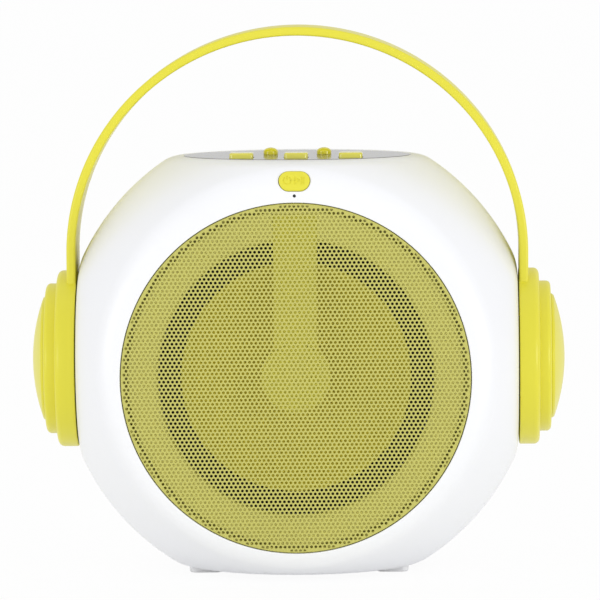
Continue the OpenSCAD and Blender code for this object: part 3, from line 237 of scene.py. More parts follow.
def fillet(points, steps=6):
    """Line through (r, h) or (r, h, radius) points, its corners rounded where a radius is given."""
    line = []
    for i, p in enumerate(points):
        here = Vector(p[:2])
        if len(p) < 3 or i in (0, len(points) - 1):
            line.append(tuple(here))
            continue
        back = (Vector(points[i - 1][:2]) - here).normalized()
        on = (Vector(points[i + 1][:2]) - here).normalized()
        half = back.angle(on) / 2
        middle = here + (back + on).normalized() * (p[2] / sin(half))
        start = here + back * (p[2] / tan(half)) - middle
        end = here + on * (p[2] / tan(half)) - middle
        turn = start.angle_signed(end)
        for k in range(steps + 1):
            a = -turn * k / steps
            line.append((middle.x + start.x * cos(a) - start.y * sin(a),
                         middle.y + start.x * sin(a) + start.y * cos(a)))
    return line


def arc(cr, ch, r, start, end, steps):
    """Points of an arc in a profile, angles in degrees."""
    return [(cr + r * cos(radians(start + (end - start) * k / steps)),
             ch + r * sin(radians(start + (end - start) * k / steps))) for k in range(steps + 1)]


def front_place(up):
    return lambda r, h, c, s: (r * c, -h, CENTRE_Z + up + r * s)


def side_place(side):
    return lambda r, h, c, s: (side * h, r * c, CENTRE_Z + r * s)


def up_place(x, y):
    return lambda r, h, c, s: (x + r * c, y + r * s, h)


def lathe(profile, place, around=128, closed=False):
    """Vertices and faces of a profile turned round an axis. A closed profile is a ring. An open one
    starts and ends on the axis, or is capped with flat faces."""
    verts, rings = [], []
    for r, h in profile:
        if r < 1e-6:
            rings.append([len(verts)])
            verts.append(place(0, h, 1, 0))
        else:
            rings.append(list(range(len(verts), len(verts) + around)))
            verts += [place(r, h, cos(2 * pi * k / around), sin(2 * pi * k / around)) for k in range(around)]
    faces = []
    pairs = list(zip(rings, rings[1:] + rings[:1])) if closed else list(zip(rings, rings[1:]))
    for a, b in pairs:
        for k in range(around):
            n = (k + 1) % around
            if len(a) == 1 and len(b) == 1:
                continue
            if len(a) == 1:
                faces.append((a[0], b[n], b[k]))
            elif len(b) == 1:
                faces.append((a[k], a[n], b[0]))
            else:
                faces.append((a[k], a[n], b[n], b[k]))
    if not closed:
        for ring in (rings[0], rings[-1]):
            if len(ring) > 1:
                faces.append(tuple(ring))
    return verts, faces


def stack(rings, capped=True):
    """Faces through rings of equal length."""
    verts = [v for ring in rings for v in ring]
    n = len(rings[0])
    faces = [(i * n + k, i * n + (k + 1) % n, (i + 1) * n + (k + 1) % n, (i + 1) * n + k)
             for i in range(len(rings) - 1) for k in range(n)]
    if capped:
        faces += [tuple(range(n)), tuple(range((len(rings) - 1) * n, len(rings) * n))]
    return verts, faces


def soft_rect(w, l, r, steps=8):
    """Outline of a rectangle with round corners, counter-clockwise from its right side."""
    points = []
    for cx, cy, start in ((w / 2 - r, l / 2 - r, 0), (r - w / 2, l / 2 - r, 90), (r - w / 2, r - l / 2, 180),
                          (w / 2 - r, r - l / 2, 270)):
        points += arc(cx, cy, r, start, start + 90, steps)
    return points


def oval(a, b, steps=192):
    return [(a * cos(2 * pi * k / steps), b * sin(2 * pi * k / steps)) for k in range(steps)]


def prism(name, outline, place, low, high):
    """A cutter: an outline drawn between two levels, placed by place(u, v, h)."""
    verts, faces = stack([[place(u, v, low) for u, v in outline], [place(u, v, high) for u, v in outline]])
    return add(name, verts, faces, None, "black_plastic")


# The round body
CROWN_C = BODY_R - CROWN_R
CORNER_D = HALF_DEPTH - CORNER_R
CORNER_C = CROWN_C + sqrt((CROWN_R - CORNER_R) ** 2 - CORNER_D ** 2)
CORNER_START = degrees(atan2(CORNER_D, CORNER_C - CROWN_C))
FLAT_BLEND = 2.6
AROUND = 480


def height(r, inset=0.0):
    """Depth of the body's surface at a distance r from its axis, near the front face."""
    if r <= CORNER_C:
        return HALF_DEPTH - inset
    return CORNER_D + sqrt(max(0.0, (CORNER_R - inset) ** 2 - (r - CORNER_C) ** 2))


def soft_min(a, b, blend):
    h = max(blend - abs(a - b), 0.0) / blend
    return min(a, b) - h * h * blend / 4


def flatten(x, z, inset):
    """Brings a point of the round body inside its four flats, with a soft edge."""
    x = soft_min(abs(x), FLAT_SIDE - inset, FLAT_BLEND) * (1 if x > 0 else -1)
    z = soft_min(z, FLAT_UP - inset, FLAT_BLEND) if z > 0 else -soft_min(-z, FLAT_DOWN - inset, FLAT_BLEND)
    return x, z


def body_ring(r, d, inset, sign):
    ring = []
    for k in range(AROUND):
        x, z = flatten(r * cos(2 * pi * k / AROUND), r * sin(2 * pi * k / AROUND), inset)
        ring.append((x, -sign * d, CENTRE_Z + z))
    return ring


def well_ring(r, depth):
    """Circle round the grille's axis. Its depth is a level, or a function of the distance from the
    body's axis."""
    ring = []
    for k in range(AROUND):
        x, z = r * cos(2 * pi * k / AROUND), r * sin(2 * pi * k / AROUND) - GRILLE_DROP
        ring.append((x, -(depth(hypot(x, z)) if callable(depth) else depth), CENTRE_Z + z))
    return ring


def between(outer_r, inner_r, inset, steps):
    """Rings over the body's face, from a ring round the body's axis to one round the grille's axis."""
    rings = []
    for i in range(1, steps + 1):
        t = i / steps
        ring = []
        for k in range(AROUND):
            c, s = cos(2 * pi * k / AROUND), sin(2 * pi * k / AROUND)
            x = (outer_r + (inner_r - outer_r) * t) * c
            z = (outer_r + (inner_r - outer_r) * t) * s - GRILLE_DROP * t
            d = height(hypot(x, z), inset)
            x, z = flatten(x, z, inset)
            ring.append((x, -d, CENTRE_Z + z))
        rings.append(ring)
    return rings


def crown_points(inset, steps):
    return arc(CROWN_C, 0, CROWN_R - inset, 0, CORNER_START, steps)


SEAM = 0.25
EDGE = 0.5
HANDOVER = 96.5
handover_angle = degrees(asin(sqrt(1 - ((HANDOVER - CORNER_C) / CORNER_R) ** 2)))

rings = [body_ring(BODY_R - SEAM, 0, 0, 1)]
rings += [body_ring(r, d, 0, 1)
          for r, d in arc(CROWN_C, 0, CROWN_R, degrees(SEAM / CROWN_R), CORNER_START, 44)]
rings += [body_ring(r, d, 0, 1)
          for r, d in arc(CORNER_C, CORNER_D, CORNER_R, CORNER_START, handover_angle, 12)[1:]]
rings += between(HANDOVER, WELL_R + EDGE, 0, 12)
for a in (30, 60, 90):
    rings.append(well_ring(WELL_R + EDGE * (1 - sin(radians(a))),
                           lambda r, a=a: height(r) - EDGE * (1 - cos(radians(a)))))
rings += [well_ring(WELL_R, WELL_MID), well_ring(WELL_R, SHELF_D), well_ring(SHELF_R, SHELF_D),
          well_ring(SHELF_R, SHELF_D - SHELF_T), well_ring(WELL_R + WELL_T, SHELF_D - SHELF_T),
          well_ring(WELL_R + WELL_T, lambda r: height(r, WALL))]
inner_handover = 94.0
inner = between(inner_handover, WELL_R + WELL_T, WALL, 4)[:-1]
rings += inner[::-1]
inner_angle = degrees(asin(sqrt(1 - ((inner_handover - CORNER_C) / (CORNER_R - WALL)) ** 2)))
rings += [body_ring(r, d, WALL, 1)
          for r, d in arc(CORNER_C, CORNER_D, CORNER_R - WALL, inner_angle, CORNER_START, 5)]
rings += [body_ring(r, d, WALL, 1) for r, d in crown_points(WALL, 16)[::-1][1:]]
verts, faces = stack(rings, capped=False)
last = (len(rings) - 1) * AROUND
faces += [(last + k, last + (k + 1) % AROUND, (k + 1) % AROUND, k) for k in range(AROUND)]
front = add("shell_front", verts, faces, "body", "white_plastic", "front_shell", sharp=28)

rings = [body_ring(BODY_R - SEAM, 0, 0, -1)]
rings += [body_ring(r, d, 0, -1)
          for r, d in arc(CROWN_C, 0, CROWN_R, degrees(SEAM / CROWN_R), CORNER_START, 44)]
rings += [body_ring(r, d, 0, -1) for r, d in arc(CORNER_C, CORNER_D, CORNER_R, CORNER_START, 90, 14)[1:]]
rings += [body_ring(r, HALF_DEPTH, 0, -1) for r in (84, 70, 50, 30, 12)]
outer_verts, outer_faces = stack(rings, capped=False)
outer_last = (len(rings) - 1) * AROUND
outer_faces.append(tuple(range(outer_last, outer_last + AROUND)))
rings = [body_ring(r, d, WALL, -1) for r, d in crown_points(WALL, 16)]
rings += [body_ring(r, d, WALL, -1)
          for r, d in arc(CORNER_C, CORNER_D, CORNER_R - WALL, CORNER_START, 90, 6)[1:]]
rings += [body_ring(r, HALF_DEPTH - WALL, WALL, -1) for r in (50, 12)]
inner_verts, inner_faces = stack(rings, capped=False)
inner_last = (len(rings) - 1) * AROUND
inner_faces.append(tuple(range(inner_last, inner_last + AROUND)))
offset = len(outer_verts)
faces = outer_faces + [tuple(i + offset for i in f) for f in inner_faces]
faces += [(k, (k + 1) % AROUND, offset + (k + 1) % AROUND, offset + k) for k in range(AROUND)]
rear = add("shell_rear", outer_verts + inner_verts, faces, "body", "white_plastic", "rear_shell", sharp=28)

# Power button's frame on the rounded corner
TILT = asin((POWER_Z - CORNER_C) / CORNER_R)
POWER_AT = (CORNER_D + CORNER_R * cos(TILT), POWER_Z)


def power_place(u, v, h):
    """u to the right, v up the slope, h outwards."""
    d = POWER_AT[0] + h * cos(TILT) - v * sin(TILT)
    return u, -d, CENTRE_Z + POWER_AT[1] + h * sin(TILT) + v * cos(TILT)


def flat_place(u, v, h):
    return u, v, h


def front_flat(u, v, h):
    return u, -h, CENTRE_Z + v


def right_flat(u, v, h):
    return h, u, CENTRE_Z + v


def shift(points, x, y):
    return [(u + x, v + y) for u, v in points]


def panel_cutters(tag):
    rebate = oval(PANEL_A + 0.1, PANEL_B + 0.1)
    through = oval(PANEL_A - 3, PANEL_B - 3)
    return [prism("cut_rebate" + tag, rebate, flat_place, PANEL_UNDER, TOP_Z + 4),
            prism("cut_through" + tag, through, flat_place, TOP_Z - 9, PANEL_UNDER + 1)]


def pivot_cutters(tag):
    outline = oval(PIVOT_HOLE_R, PIVOT_HOLE_R, 96)
    return [prism("cut_pivot" + tag + str(side), outline, right_flat, *sorted((side * 98, side * 118)))
            for side in (-1, 1)]


power_gap = soft_rect(POWER_W + 0.6, POWER_L + 0.6, POWER_L / 2 + 0.29, 14)
light_gap = shift(oval(LIGHT_D / 2 + 0.1, LIGHT_D / 2 + 0.1, 32), 0, LIGHT_Z)
carve(front, [prism("cut_power", power_gap, power_place, -7, 6),
              prism("cut_light", light_gap, front_flat, 70, 78)]
      + panel_cutters("_front") + pivot_cutters("_front"), sharp=28)

BOSS_ANGLES = (38, 142, 218, 322, 244, 296)
BOSS_CIRCLE = 97.0
RECESS_R = 4.6
SOCKETS = {"mic": (-15.0, -53.9, 4.7), "aux": (3.0, -56.9, 3.0)}      # x, z, radius
CHARGE_W, CHARGE_H, CHARGE_CORNER, CHARGE_X, CHARGE_Z = 9.4, 3.7, 1.75, 17.0, -58.6
cutters = []
for a in BOSS_ANGLES:
    x, z = BOSS_CIRCLE * cos(radians(a)), BOSS_CIRCLE * sin(radians(a))
    cutters.append(prism(f"cut_recess_{a}", shift(oval(RECESS_R, RECESS_R, 48), x, z), front_flat, -80, -56))
for name, (x, z, r) in SOCKETS.items():
    cutters.append(prism("cut_" + name, shift(oval(r, r, 48), x, z), front_flat, -80, -70))
charge_gap = shift(soft_rect(CHARGE_W, CHARGE_H, CHARGE_CORNER), CHARGE_X, CHARGE_Z)
cutters.append(prism("cut_charge", charge_gap, front_flat, -80, -70))
carve(rear, cutters + panel_cutters("_rear") + pivot_cutters("_rear"), sharp=28)

TUBE_BACK, TUBE_SEAT, TUBE_END, TUBE_BORE_R, TUBE_T = 72.6, 56.0, 53.0, 1.7, 1.5


def in_wall(x, z, depth):
    """The depth, or the middle of the body's wall over (x, z) where that is less."""
    r = hypot(x, z)
    if r < CORNER_C + CORNER_R * cos(radians(CORNER_START)) - 1:
        return min(depth, height(r, WALL / 2))
    return min(depth, sqrt((CROWN_R - WALL / 2) ** 2 - (r - CROWN_C) ** 2))


# Tubes behind the rear shell's screw recesses, from inside its wall to the screw heads
for i, a in enumerate(BOSS_ANGLES):
    x, z = BOSS_CIRCLE * cos(radians(a)), BOSS_CIRCLE * sin(radians(a))
    tube = [(RECESS_R + 0.01, TUBE_BACK), (RECESS_R + 0.01, TUBE_SEAT), (TUBE_BORE_R, TUBE_SEAT),
            (TUBE_BORE_R, TUBE_END), (RECESS_R + TUBE_T, TUBE_END), (RECESS_R + TUBE_T, TUBE_BACK)]
    verts, faces = lathe(tube, lambda r, h, c, s: (x + r * c, in_wall(x + r * c, z + r * s, h),
                                                   CENTRE_Z + z + r * s), 48, closed=True)
    add(f"screw_tube_{i + 1}", verts, faces, "body", "white_plastic")

# Top panel with its buttons and knobs
edge = 0.15
rings = [[(x, y, z) for x, y in oval(PANEL_A, PANEL_B)] for z in (PANEL_UNDER, PANEL_Z - edge)]
for a in (22.5, 45, 67.5, 90):
    inset = edge * (1 - cos(radians(a)))
    level = PANEL_Z - edge + edge * sin(radians(a))
    rings.append([(x, y, level) for x, y in oval(PANEL_A - inset, PANEL_B - inset)])
rings.append([(x, y, PANEL_Z) for x, y in oval(PANEL_A - edge - 0.3, PANEL_B - edge - 0.3)])
panel = add("control_panel", *stack(rings), "body", "grey_panel", "top_panel")
BELOW_PANEL, ABOVE_PANEL = 200, 210
SHAFT_HOLE_R = 2.4
button_gap = soft_rect(BUTTON_W + 0.6, BUTTON_L + 0.6, 1.9)
cutters = [prism("cut_" + name, shift(button_gap, x, BUTTON_Y), flat_place, BELOW_PANEL, ABOVE_PANEL)
           for name, x in BUTTON_X.items()]
shaft_gap = oval(SHAFT_HOLE_R, SHAFT_HOLE_R, 48)
cutters += [prism(f"cut_knob_{side}", shift(shaft_gap, side * KNOB_X, KNOB_Y), flat_place,
                  BELOW_PANEL, ABOVE_PANEL) for side in (-1, 1)]
carve(panel, cutters)

flange_z = PANEL_UNDER - 1.5
FLANGE_T, FLANGE_OVER, BUTTON_CORNER = 1.2, 2, 1.6      # FLANGE_OVER: how much wider than the button it is
for name, x in BUTTON_X.items():
    edge = 0.8
    flange = soft_rect(BUTTON_W + FLANGE_OVER, BUTTON_L + FLANGE_OVER, BUTTON_CORNER)
    rings = [[(x + u, BUTTON_Y + v, z) for u, v in flange] for z in (flange_z, flange_z + FLANGE_T)]
    rings += [[(x + u, BUTTON_Y + v, z) for u, v in soft_rect(BUTTON_W, BUTTON_L, BUTTON_CORNER)]
              for z in (flange_z + FLANGE_T, BUTTON_TOP - edge)]
    for a in (18, 36, 54, 72, 90):
        inset = edge * (1 - cos(radians(a)))
        outline = soft_rect(BUTTON_W - 2 * inset, BUTTON_L - 2 * inset, BUTTON_CORNER - inset)
        rings.append([(x + u, BUTTON_Y + v, BUTTON_TOP - edge + edge * sin(radians(a))) for u, v in outline])
    outline = soft_rect(BUTTON_W - 2 * edge - 0.6, BUTTON_L - 2 * edge - 0.6, 0.5)
    rings.append([(x + u, BUTTON_Y + v, BUTTON_TOP) for u, v in outline])
    # the keys wear the paler yellow with the painted reflection
    add("key_" + name, *stack(rings), "button_" + name, "yellow_plastic", "button_" + name, look="key_yellow_painted_reflection")

KNOB_GAP, KNOB_BEVEL = 0.03, 0.02
MARK_W, MARK_START, MARK_END, MARK_DEPTH = 0.6, 1.2, 5, 0.5
for side, name in ((-1, "left"), (1, "right")):
    head_r = KNOB_D / 2
    head_z = KNOB_H - DOME_H
    profile = [(0, KNOB_GAP), (head_r - KNOB_BEVEL, KNOB_GAP), (head_r, KNOB_GAP + KNOB_BEVEL)]
    profile += [(head_r * cos(radians(a)), head_z + DOME_H * sin(radians(a))) for a in range(0, 86, 5)]
    profile.append((0, KNOB_H))
    verts, faces = lathe([(r, PANEL_Z + h) for r, h in profile], up_place(side * KNOB_X, KNOB_Y), 96)
    knob = add("knob_head_" + name, verts, faces, "knob_" + name, "knob_plastic", "knob_" + name)
    mark = [(-MARK_W / 2, MARK_START), (MARK_W / 2, MARK_START),
            (MARK_W / 2, MARK_END), (-MARK_W / 2, MARK_END)]
    carve(knob, [prism("cut_mark_" + name, shift(mark, side * KNOB_X, KNOB_Y), flat_place,
                       PANEL_Z + KNOB_H - MARK_DEPTH, PANEL_Z + KNOB_H + 1)])

# Power button with its sunk signs
ON_U, PLAY_U, SIGN_V = -3.5, 2.1, -0.1      # middles of the two signs on the button
ON_R, ON_GAP = 1.8, 36                      # ring of the left sign, and half its gap in degrees
SIGN_REACH, SIGN_FADE, SIGN_DEPTH = 0.36, 0.16, 0.35


def stroke(u, v, a, b):
    """Distance from a point to a straight stroke."""
    ax, ay, bx, by = *a, *b
    t = max(0, min(1, ((u - ax) * (bx - ax) + (v - ay) * (by - ay)) / ((bx - ax) ** 2 + (by - ay) ** 2)))
    return hypot(u - ax - t * (bx - ax), v - ay - t * (by - ay))


def sign_distance(u, v):
    """Distance to the nearest line of the two signs: on and off at the left, play and pause at the right."""
    pu, pv = u - ON_U, v - SIGN_V
    angle = abs(degrees(atan2(pu, pv)))
    ring = abs(hypot(pu, pv) - ON_R) if angle > ON_GAP else 9
    best = min(ring, stroke(pu, pv, (0, 0.5), (0, 2.2)))
    qu, qv = u - PLAY_U, v - SIGN_V
    corners = ((-1.9, -1.7), (-1.9, 1.7), (0.4, 0.0))
    for i in range(3):
        best = min(best, stroke(qu, qv, corners[i], corners[(i + 1) % 3]))
    return min(best, stroke(qu, qv, (1.4, -1.6), (1.4, 1.6)), stroke(qu, qv, (2.4, -1.6), (2.4, 1.6)))


def skin(u, v, rise):
    """Height in the power frame of the body's surface, moved out by rise, over the point (u, v)."""
    h = rise
    for _ in range(8):
        x, y, z = power_place(u, v, h)
        r = hypot(x, z - CENTRE_Z)
        over_corner = (CORNER_R + rise) ** 2 - (r - CORNER_C) ** 2
        depth = HALF_DEPTH + rise if r <= CORNER_C else CORNER_D + sqrt(over_corner)
        h += (depth + y) * cos(TILT)
    return h


def stadium(w, l, count=360):
    """Evenly spaced points round a bar with round ends."""
    straight, r = w - l, l / 2
    total = 2 * straight + 2 * pi * r
    points = []
    for k in range(count):
        s = total * k / count
        if s < straight:
            points.append((s - straight / 2, -r))
        elif s < straight + pi * r:
            a = (s - straight) / r - pi / 2
            points.append((straight / 2 + r * cos(a), r * sin(a)))
        elif s < 2 * straight + pi * r:
            points.append((straight / 2 - (s - straight - pi * r), r))
        else:
            a = (s - 2 * straight - pi * r) / r + pi / 2
            points.append((-straight / 2 + r * cos(a), r * sin(a)))
    return points


POWER_BACK = -4.7
rings = []
outline = stadium(POWER_W, POWER_L)
edge = 0.7
rings.append([power_place(u, v, POWER_BACK) for u, v in outline])
rings.append([power_place(u, v, skin(u, v, POWER_RISE) - edge) for u, v in outline])
for a in (15, 30, 45, 60, 75, 90):
    inset = edge * (1 - cos(radians(a)))
    rings.append([power_place(u, v, skin(u, v, POWER_RISE) - edge * (1 - sin(radians(a))))
                  for u, v in stadium(POWER_W - 2 * inset, POWER_L - 2 * inset)])
steps = 56
core_end = (POWER_W - POWER_L) / 2
for i in range(1, steps):
    t = 1 - i / steps
    ring = []
    for u, v in stadium(POWER_W - 2 * edge, POWER_L - 2 * edge):
        core = max(-core_end, min(core_end, u))
        u, v = core + (u - core) * t, v * t
        depth = SIGN_DEPTH * max(0.0, min(1.0, (SIGN_REACH - sign_distance(u, v)) / SIGN_FADE))
        ring.append(power_place(u, v, skin(u, v, POWER_RISE) - depth))
    rings.append(ring)
add("power_key", *stack(rings), "power_button", "yellow_plastic", "power_button", sharp=50)

# Perforated front grille
PITCH, HOLE_D, SKIN_T = 2.147, 1.46, 0.3
ROLL = 0.6                # rounding of the sheet's edge
PLATE_R = GRILLE_R - ROLL
PATTERN_X, PATTERN_Y = -0.886, 0.806      # middle of a hole, from the grille's centre
PATTERN_TURN, STRETCH = 0.0057, 1.0033    # radians; the pitch times this sideways, divided by it upwards
LEAST_IN, RIM_LEFT = 0.35, 0.12           # least distance of a hole's middle, and its outline, from the edge


def grille_sheet():
    """The sheet's face: a hexagon round each hole, drawn in to the round edge where it would pass it."""
    row_step = PITCH * sqrt(3) / 2
    hexagon, hole = [], []
    for k in range(12):
        a = radians(30 * k)
        r = PITCH / sqrt(3) if k % 2 else PITCH / 2
        hexagon.append((r * cos(a), r * sin(a)))
        hole.append((HOLE_D / 2 * cos(a), HOLE_D / 2 * sin(a)))
    verts, index, faces = [], {}, []

    def laid(x, y):
        """A point of the even pattern where the sheet has it, a touch turned and stretched."""
        x, y = (x + PATTERN_X) * STRETCH, (y + PATTERN_Y) / STRETCH
        return x * cos(PATTERN_TURN) - y * sin(PATTERN_TURN), x * sin(PATTERN_TURN) + y * cos(PATTERN_TURN)

    def vertex(x, y, limit=PLATE_R):
        key = (round(x * 200), round(y * 200))
        for near in ((key[0] + a, key[1] + b) for a in (0, -1, 1) for b in (0, -1, 1)):
            if near in index and hypot(index[near][1] - x, index[near][2] - y) < 0.004:
                return index[near][0]
        index[key] = (len(verts), x, y)
        scale = min(1.0, limit / hypot(x, y)) if x or y else 1.0
        verts.append((x * scale, y * scale))
        return index[key][0]

    n = ceil(GRILLE_R / row_step)
    for row in range(-n, n + 1):
        for column in range(-n, n + 1):
            cx, cy = (column + (0.5 if row % 2 else 0)) * PITCH, row * row_step
            outline = [laid(cx + x, cy + y) for x, y in hexagon]
            if min(hypot(x, y) for x, y in outline) > PLATE_R - 0.02:
                continue
            ring = [vertex(x, y) for x, y in outline]
            if hypot(*laid(cx, cy)) < PLATE_R - LEAST_IN:
                inner = [vertex(*laid(cx + x, cy + y), PLATE_R - RIM_LEFT) for x, y in hole]
                faces += [(ring[k], ring[(k + 1) % 12], inner[(k + 1) % 12], inner[k]) for k in range(12)]
            else:
                faces.append(tuple(ring))
    return verts, faces


flat_verts, flat_faces = grille_sheet()
n = len(flat_verts)
edge_use = set()
for f in flat_faces:
    edge_use.update(zip(f, f[1:] + f[:1]))
borders = [e for e in edge_use if (e[1], e[0]) not in edge_use]
borders.sort()
up = CENTRE_Z - GRILLE_DROP
verts = [(x, -GRILLE_FACE, up + y) for x, y in flat_verts]
verts += [(x, -GRILLE_FACE + SKIN_T, up + y) for x, y in flat_verts]
faces = list(flat_faces) + [tuple(i + n for i in reversed(f)) for f in flat_faces]
faces += [(b, a, a + n, b + n) for a, b in borders]
add("grille_sheet", verts, faces, "body", "grille_paint", "front_grille", sharp=40)
rim = arc(PLATE_R, GRILLE_FACE - ROLL, ROLL, 90, 0, 8)
rim += [(GRILLE_R, RIM_END), (GRILLE_R - SKIN_T, RIM_END)]
rim += arc(PLATE_R, GRILLE_FACE - ROLL, ROLL - SKIN_T, 0, 90, 5)
add("grille_rim", *lathe(rim, front_place(-GRILLE_DROP), 360, closed=True), "body", "grille_paint",
    "front_grille")

# Behind the grille
LIP_R, LIP_START = 84.9, 70.1                    # lip inside the grille's turned-back rim
GROOVE_OUT_R, GROOVE_IN_R, GROOVE_D = 84.0, 82.0, 64.5
place = front_place(-GRILLE_DROP)
ring = fillet([(BAFFLE_HOLE_R, SHELF_D), (WELL_R - 0.2, SHELF_D), (WELL_R - 0.2, LIP_START),
               (LIP_R, LIP_START), (LIP_R, BAFFLE_FACE), (GROOVE_OUT_R, BAFFLE_FACE),
               (GROOVE_OUT_R, GROOVE_D), (GROOVE_IN_R, GROOVE_D), (GROOVE_IN_R, BAFFLE_FACE, 0.3),
               (BAFFLE_HOLE_R, BAFFLE_FACE, 2.2), (BAFFLE_HOLE_R, SHELF_D)], 8)[:-1]
# the baffle wears the much paler yellow with painted light
baffle = add("baffle_plate", *lathe(ring, place, 240, closed=True), "body", "yellow_plastic", "baffle_ring",
             look="baffle_yellow_painted_light")
seat_half = ARM_W / 2 + 0.1
carve(baffle, [prism("cut_arm_seat", [(-seat_half, BAFFLE_HOLE_R - 4), (seat_half, BAFFLE_HOLE_R - 4),
                                      (seat_half, ARM_TOP + 0.1), (-seat_half, ARM_TOP + 0.1)],
                     lambda u, v, h: (u, -h, up + v), BAFFLE_FACE - ARM_T - 0.1, BAFFLE_FACE + 2)])
FOAM_T, FOAM_OUT_R, FOAM_IN_R, FOAM_ROLL_C, FOAM_ROLL_R = 0.8, 67.3, 53.2, 60.2, 3.9
CONE_T, CONE_R, CONE_NECK_R, CONE_FLARE, CONE_H = 0.8, 56.2, 16, 37, 17
foam_top = SHELF_D + FOAM_T
surround = [(FOAM_OUT_R, SHELF_D), (FOAM_OUT_R, foam_top)]
surround += arc(FOAM_ROLL_C, SHELF_D, FOAM_ROLL_R, 12, 168, 16)
surround += [(FOAM_IN_R, foam_top), (FOAM_IN_R, SHELF_D)]
surround += arc(FOAM_ROLL_C, SHELF_D, FOAM_ROLL_R - FOAM_T, 180, 0, 16)
add("surround_roll", *lathe(surround, place, 200, closed=True), "body", "black_foam", "driver_surround")
cone = [(CONE_NECK_R + CONE_FLARE * sin(radians(90 * t)) * (0.35 + 0.65 * t),
         foam_top - CONE_H * cos(radians(90 * t))) for t in [k / 24 for k in range(25)]]
cone_ring = cone + [(CONE_R, foam_top), (CONE_R, foam_top + CONE_T)]
cone_ring += [(r, h + CONE_T) for r, h in reversed(cone)]
add("cone_smooth", *lathe(cone_ring, place, 200, closed=True), "body", "cone_paper", "driver_cone")
DUST_R, DUST_RISE, DUST_T = 17, 5, 0.6
cap_sphere = (DUST_R ** 2 + DUST_RISE ** 2) / (2 * DUST_RISE)
cap_base = foam_top - CONE_H + 1.4
half = degrees(asin(DUST_R / cap_sphere))
cap = arc(0, cap_base + DUST_RISE - cap_sphere, cap_sphere, 90 - half, 90, 14)
cap += arc(0, cap_base + DUST_RISE - cap_sphere, cap_sphere - DUST_T, 90, 90 - half, 14)
cap = [(0 if r < 1e-6 else r, h) for r, h in cap]
add("dust_dome", *lathe(cap, place, 120), "body", "cone_paper", "dust_cap")

# Light bridge: arm with softened edges, round hub and domed cover, all in the paler yellow with painted light
HUB_BORE_R, HUB_FLOOR, ARM_START = 13.2, 64.7, 13.5
hub_back = BAFFLE_FACE - 8.5
hub = fillet([(HUB_BORE_R, HUB_FLOOR), (HUB_BORE_R, BAFFLE_FACE), (HUB_R, BAFFLE_FACE, 0.4),
              (HUB_R, BAFFLE_FACE - ARM_T), (HUB_R - 3, hub_back, 0.6), (0, hub_back)], 5)
add("bridge_hub", *lathe([(0, HUB_FLOOR)] + hub, place, 120), "body", "yellow_plastic", "bridge_arm",
    look="bridge_yellow_painted_light")
rings = []
for v in [ARM_START + (ARM_TOP - ARM_START) * k / 12 for k in range(13)]:
    outline = soft_rect(ARM_W, ARM_T, 0.5, 4)
    rings.append([(u, -(BAFFLE_FACE - ARM_T / 2 + w), up + v) for u, w in outline])
add("bridge_bar", *stack(rings), "body", "yellow_plastic", "bridge_arm", look="bridge_yellow_painted_light")
dome_r = HUB_R - 0.6
dome_sphere = (dome_r ** 2 + DOME_RISE ** 2) / (2 * DOME_RISE)
half = degrees(asin(dome_r / dome_sphere))
dome = [(0, BAFFLE_FACE - 3.4), (11.6, BAFFLE_FACE - 3.4), (11.6, BAFFLE_FACE), (dome_r, BAFFLE_FACE)]
dome += arc(0, BAFFLE_FACE + DOME_RISE - dome_sphere, dome_sphere, 90 - half, 90, 16)
dome = [(0 if r < 1e-6 else r, h) for r, h in dome]
add("light_cover", *lathe(dome, place, 120), "body", "knob_plastic", "hub_dome", look="bridge_yellow_painted_light")

# Ear cups
POCKET_R, PLUG_R = 12.1, 12               # the pad's pocket, and the cap's plug in it
OPENING_R, SHOULDER_R = 23, 22.8          # the cover's opening, and the cap's shoulder in it
STEP_EDGE = 2.2
for side, name in ((-1, "left"), (1, "right")):
    place = side_place(side)
    pad = fillet([(0, HUB_END), (PIVOT_R, HUB_END, 0.5), (PIVOT_R, PAD_OUT - PAD_WALL),
                  (PAD_R - PAD_WALL, PAD_OUT - PAD_WALL, 0.8), (PAD_R - PAD_WALL, PAD_IN, 0.6),
                  (PAD_R, PAD_IN, 0.9), (PAD_R, PAD_OUT, 2.8), (POCKET_R, PAD_OUT, 0.2),
                  (POCKET_R, PAD_OUT - 1), (0, PAD_OUT - 1)], 8)
    add("ear_ring_" + name, *lathe(pad, place, 192), "handle", "yellow_plastic", "ear_pad_" + name)
    face = PAD_OUT + COVER_T
    cover = fillet([(OPENING_R, face - STEP_EDGE), (COVER_R - STEP_EDGE, face - STEP_EDGE),
                    (COVER_R - STEP_EDGE, PAD_OUT), (COVER_R, PAD_OUT), (COVER_R, face, STEP_EDGE),
                    (OPENING_R, face)], 8)
    add("ear_step_" + name, *lathe(cover, place, 192, closed=True), "handle", "yellow_plastic",
        "cup_cover_" + name)
    rise = CAP_H - 1.4
    sphere = (CAP_R ** 2 + rise ** 2) / (2 * rise)
    half = degrees(asin((CAP_R - 0.6) / sphere))
    cap = [(0, PAD_OUT - 0.9), (PLUG_R, PAD_OUT - 0.9), (PLUG_R, face - 1), (SHOULDER_R, face - 1),
           (SHOULDER_R, face), (CAP_R - 0.2, face)]
    cap += arc(CAP_R - 0.6, face + 0.6, 0.6, -45, 70, 4)
    cap += arc(0, face + CAP_H - sphere, sphere, 90 - half, 90, 24)
    cap = [(0 if r < 1e-6 else r, h) for r, h in cap]
    add("ear_dome_" + name, *lathe(cap, place, 192), "handle", "yellow_plastic", "cup_cap_" + name)

# Handle band
def superellipse(a, b, t):
    c, s = cos(radians(t)), sin(radians(t))
    return (a * (1 if c >= 0 else -1) * abs(c) ** (2 / FULLNESS), ARCH_START + b * abs(s) ** (2 / FULLNESS))


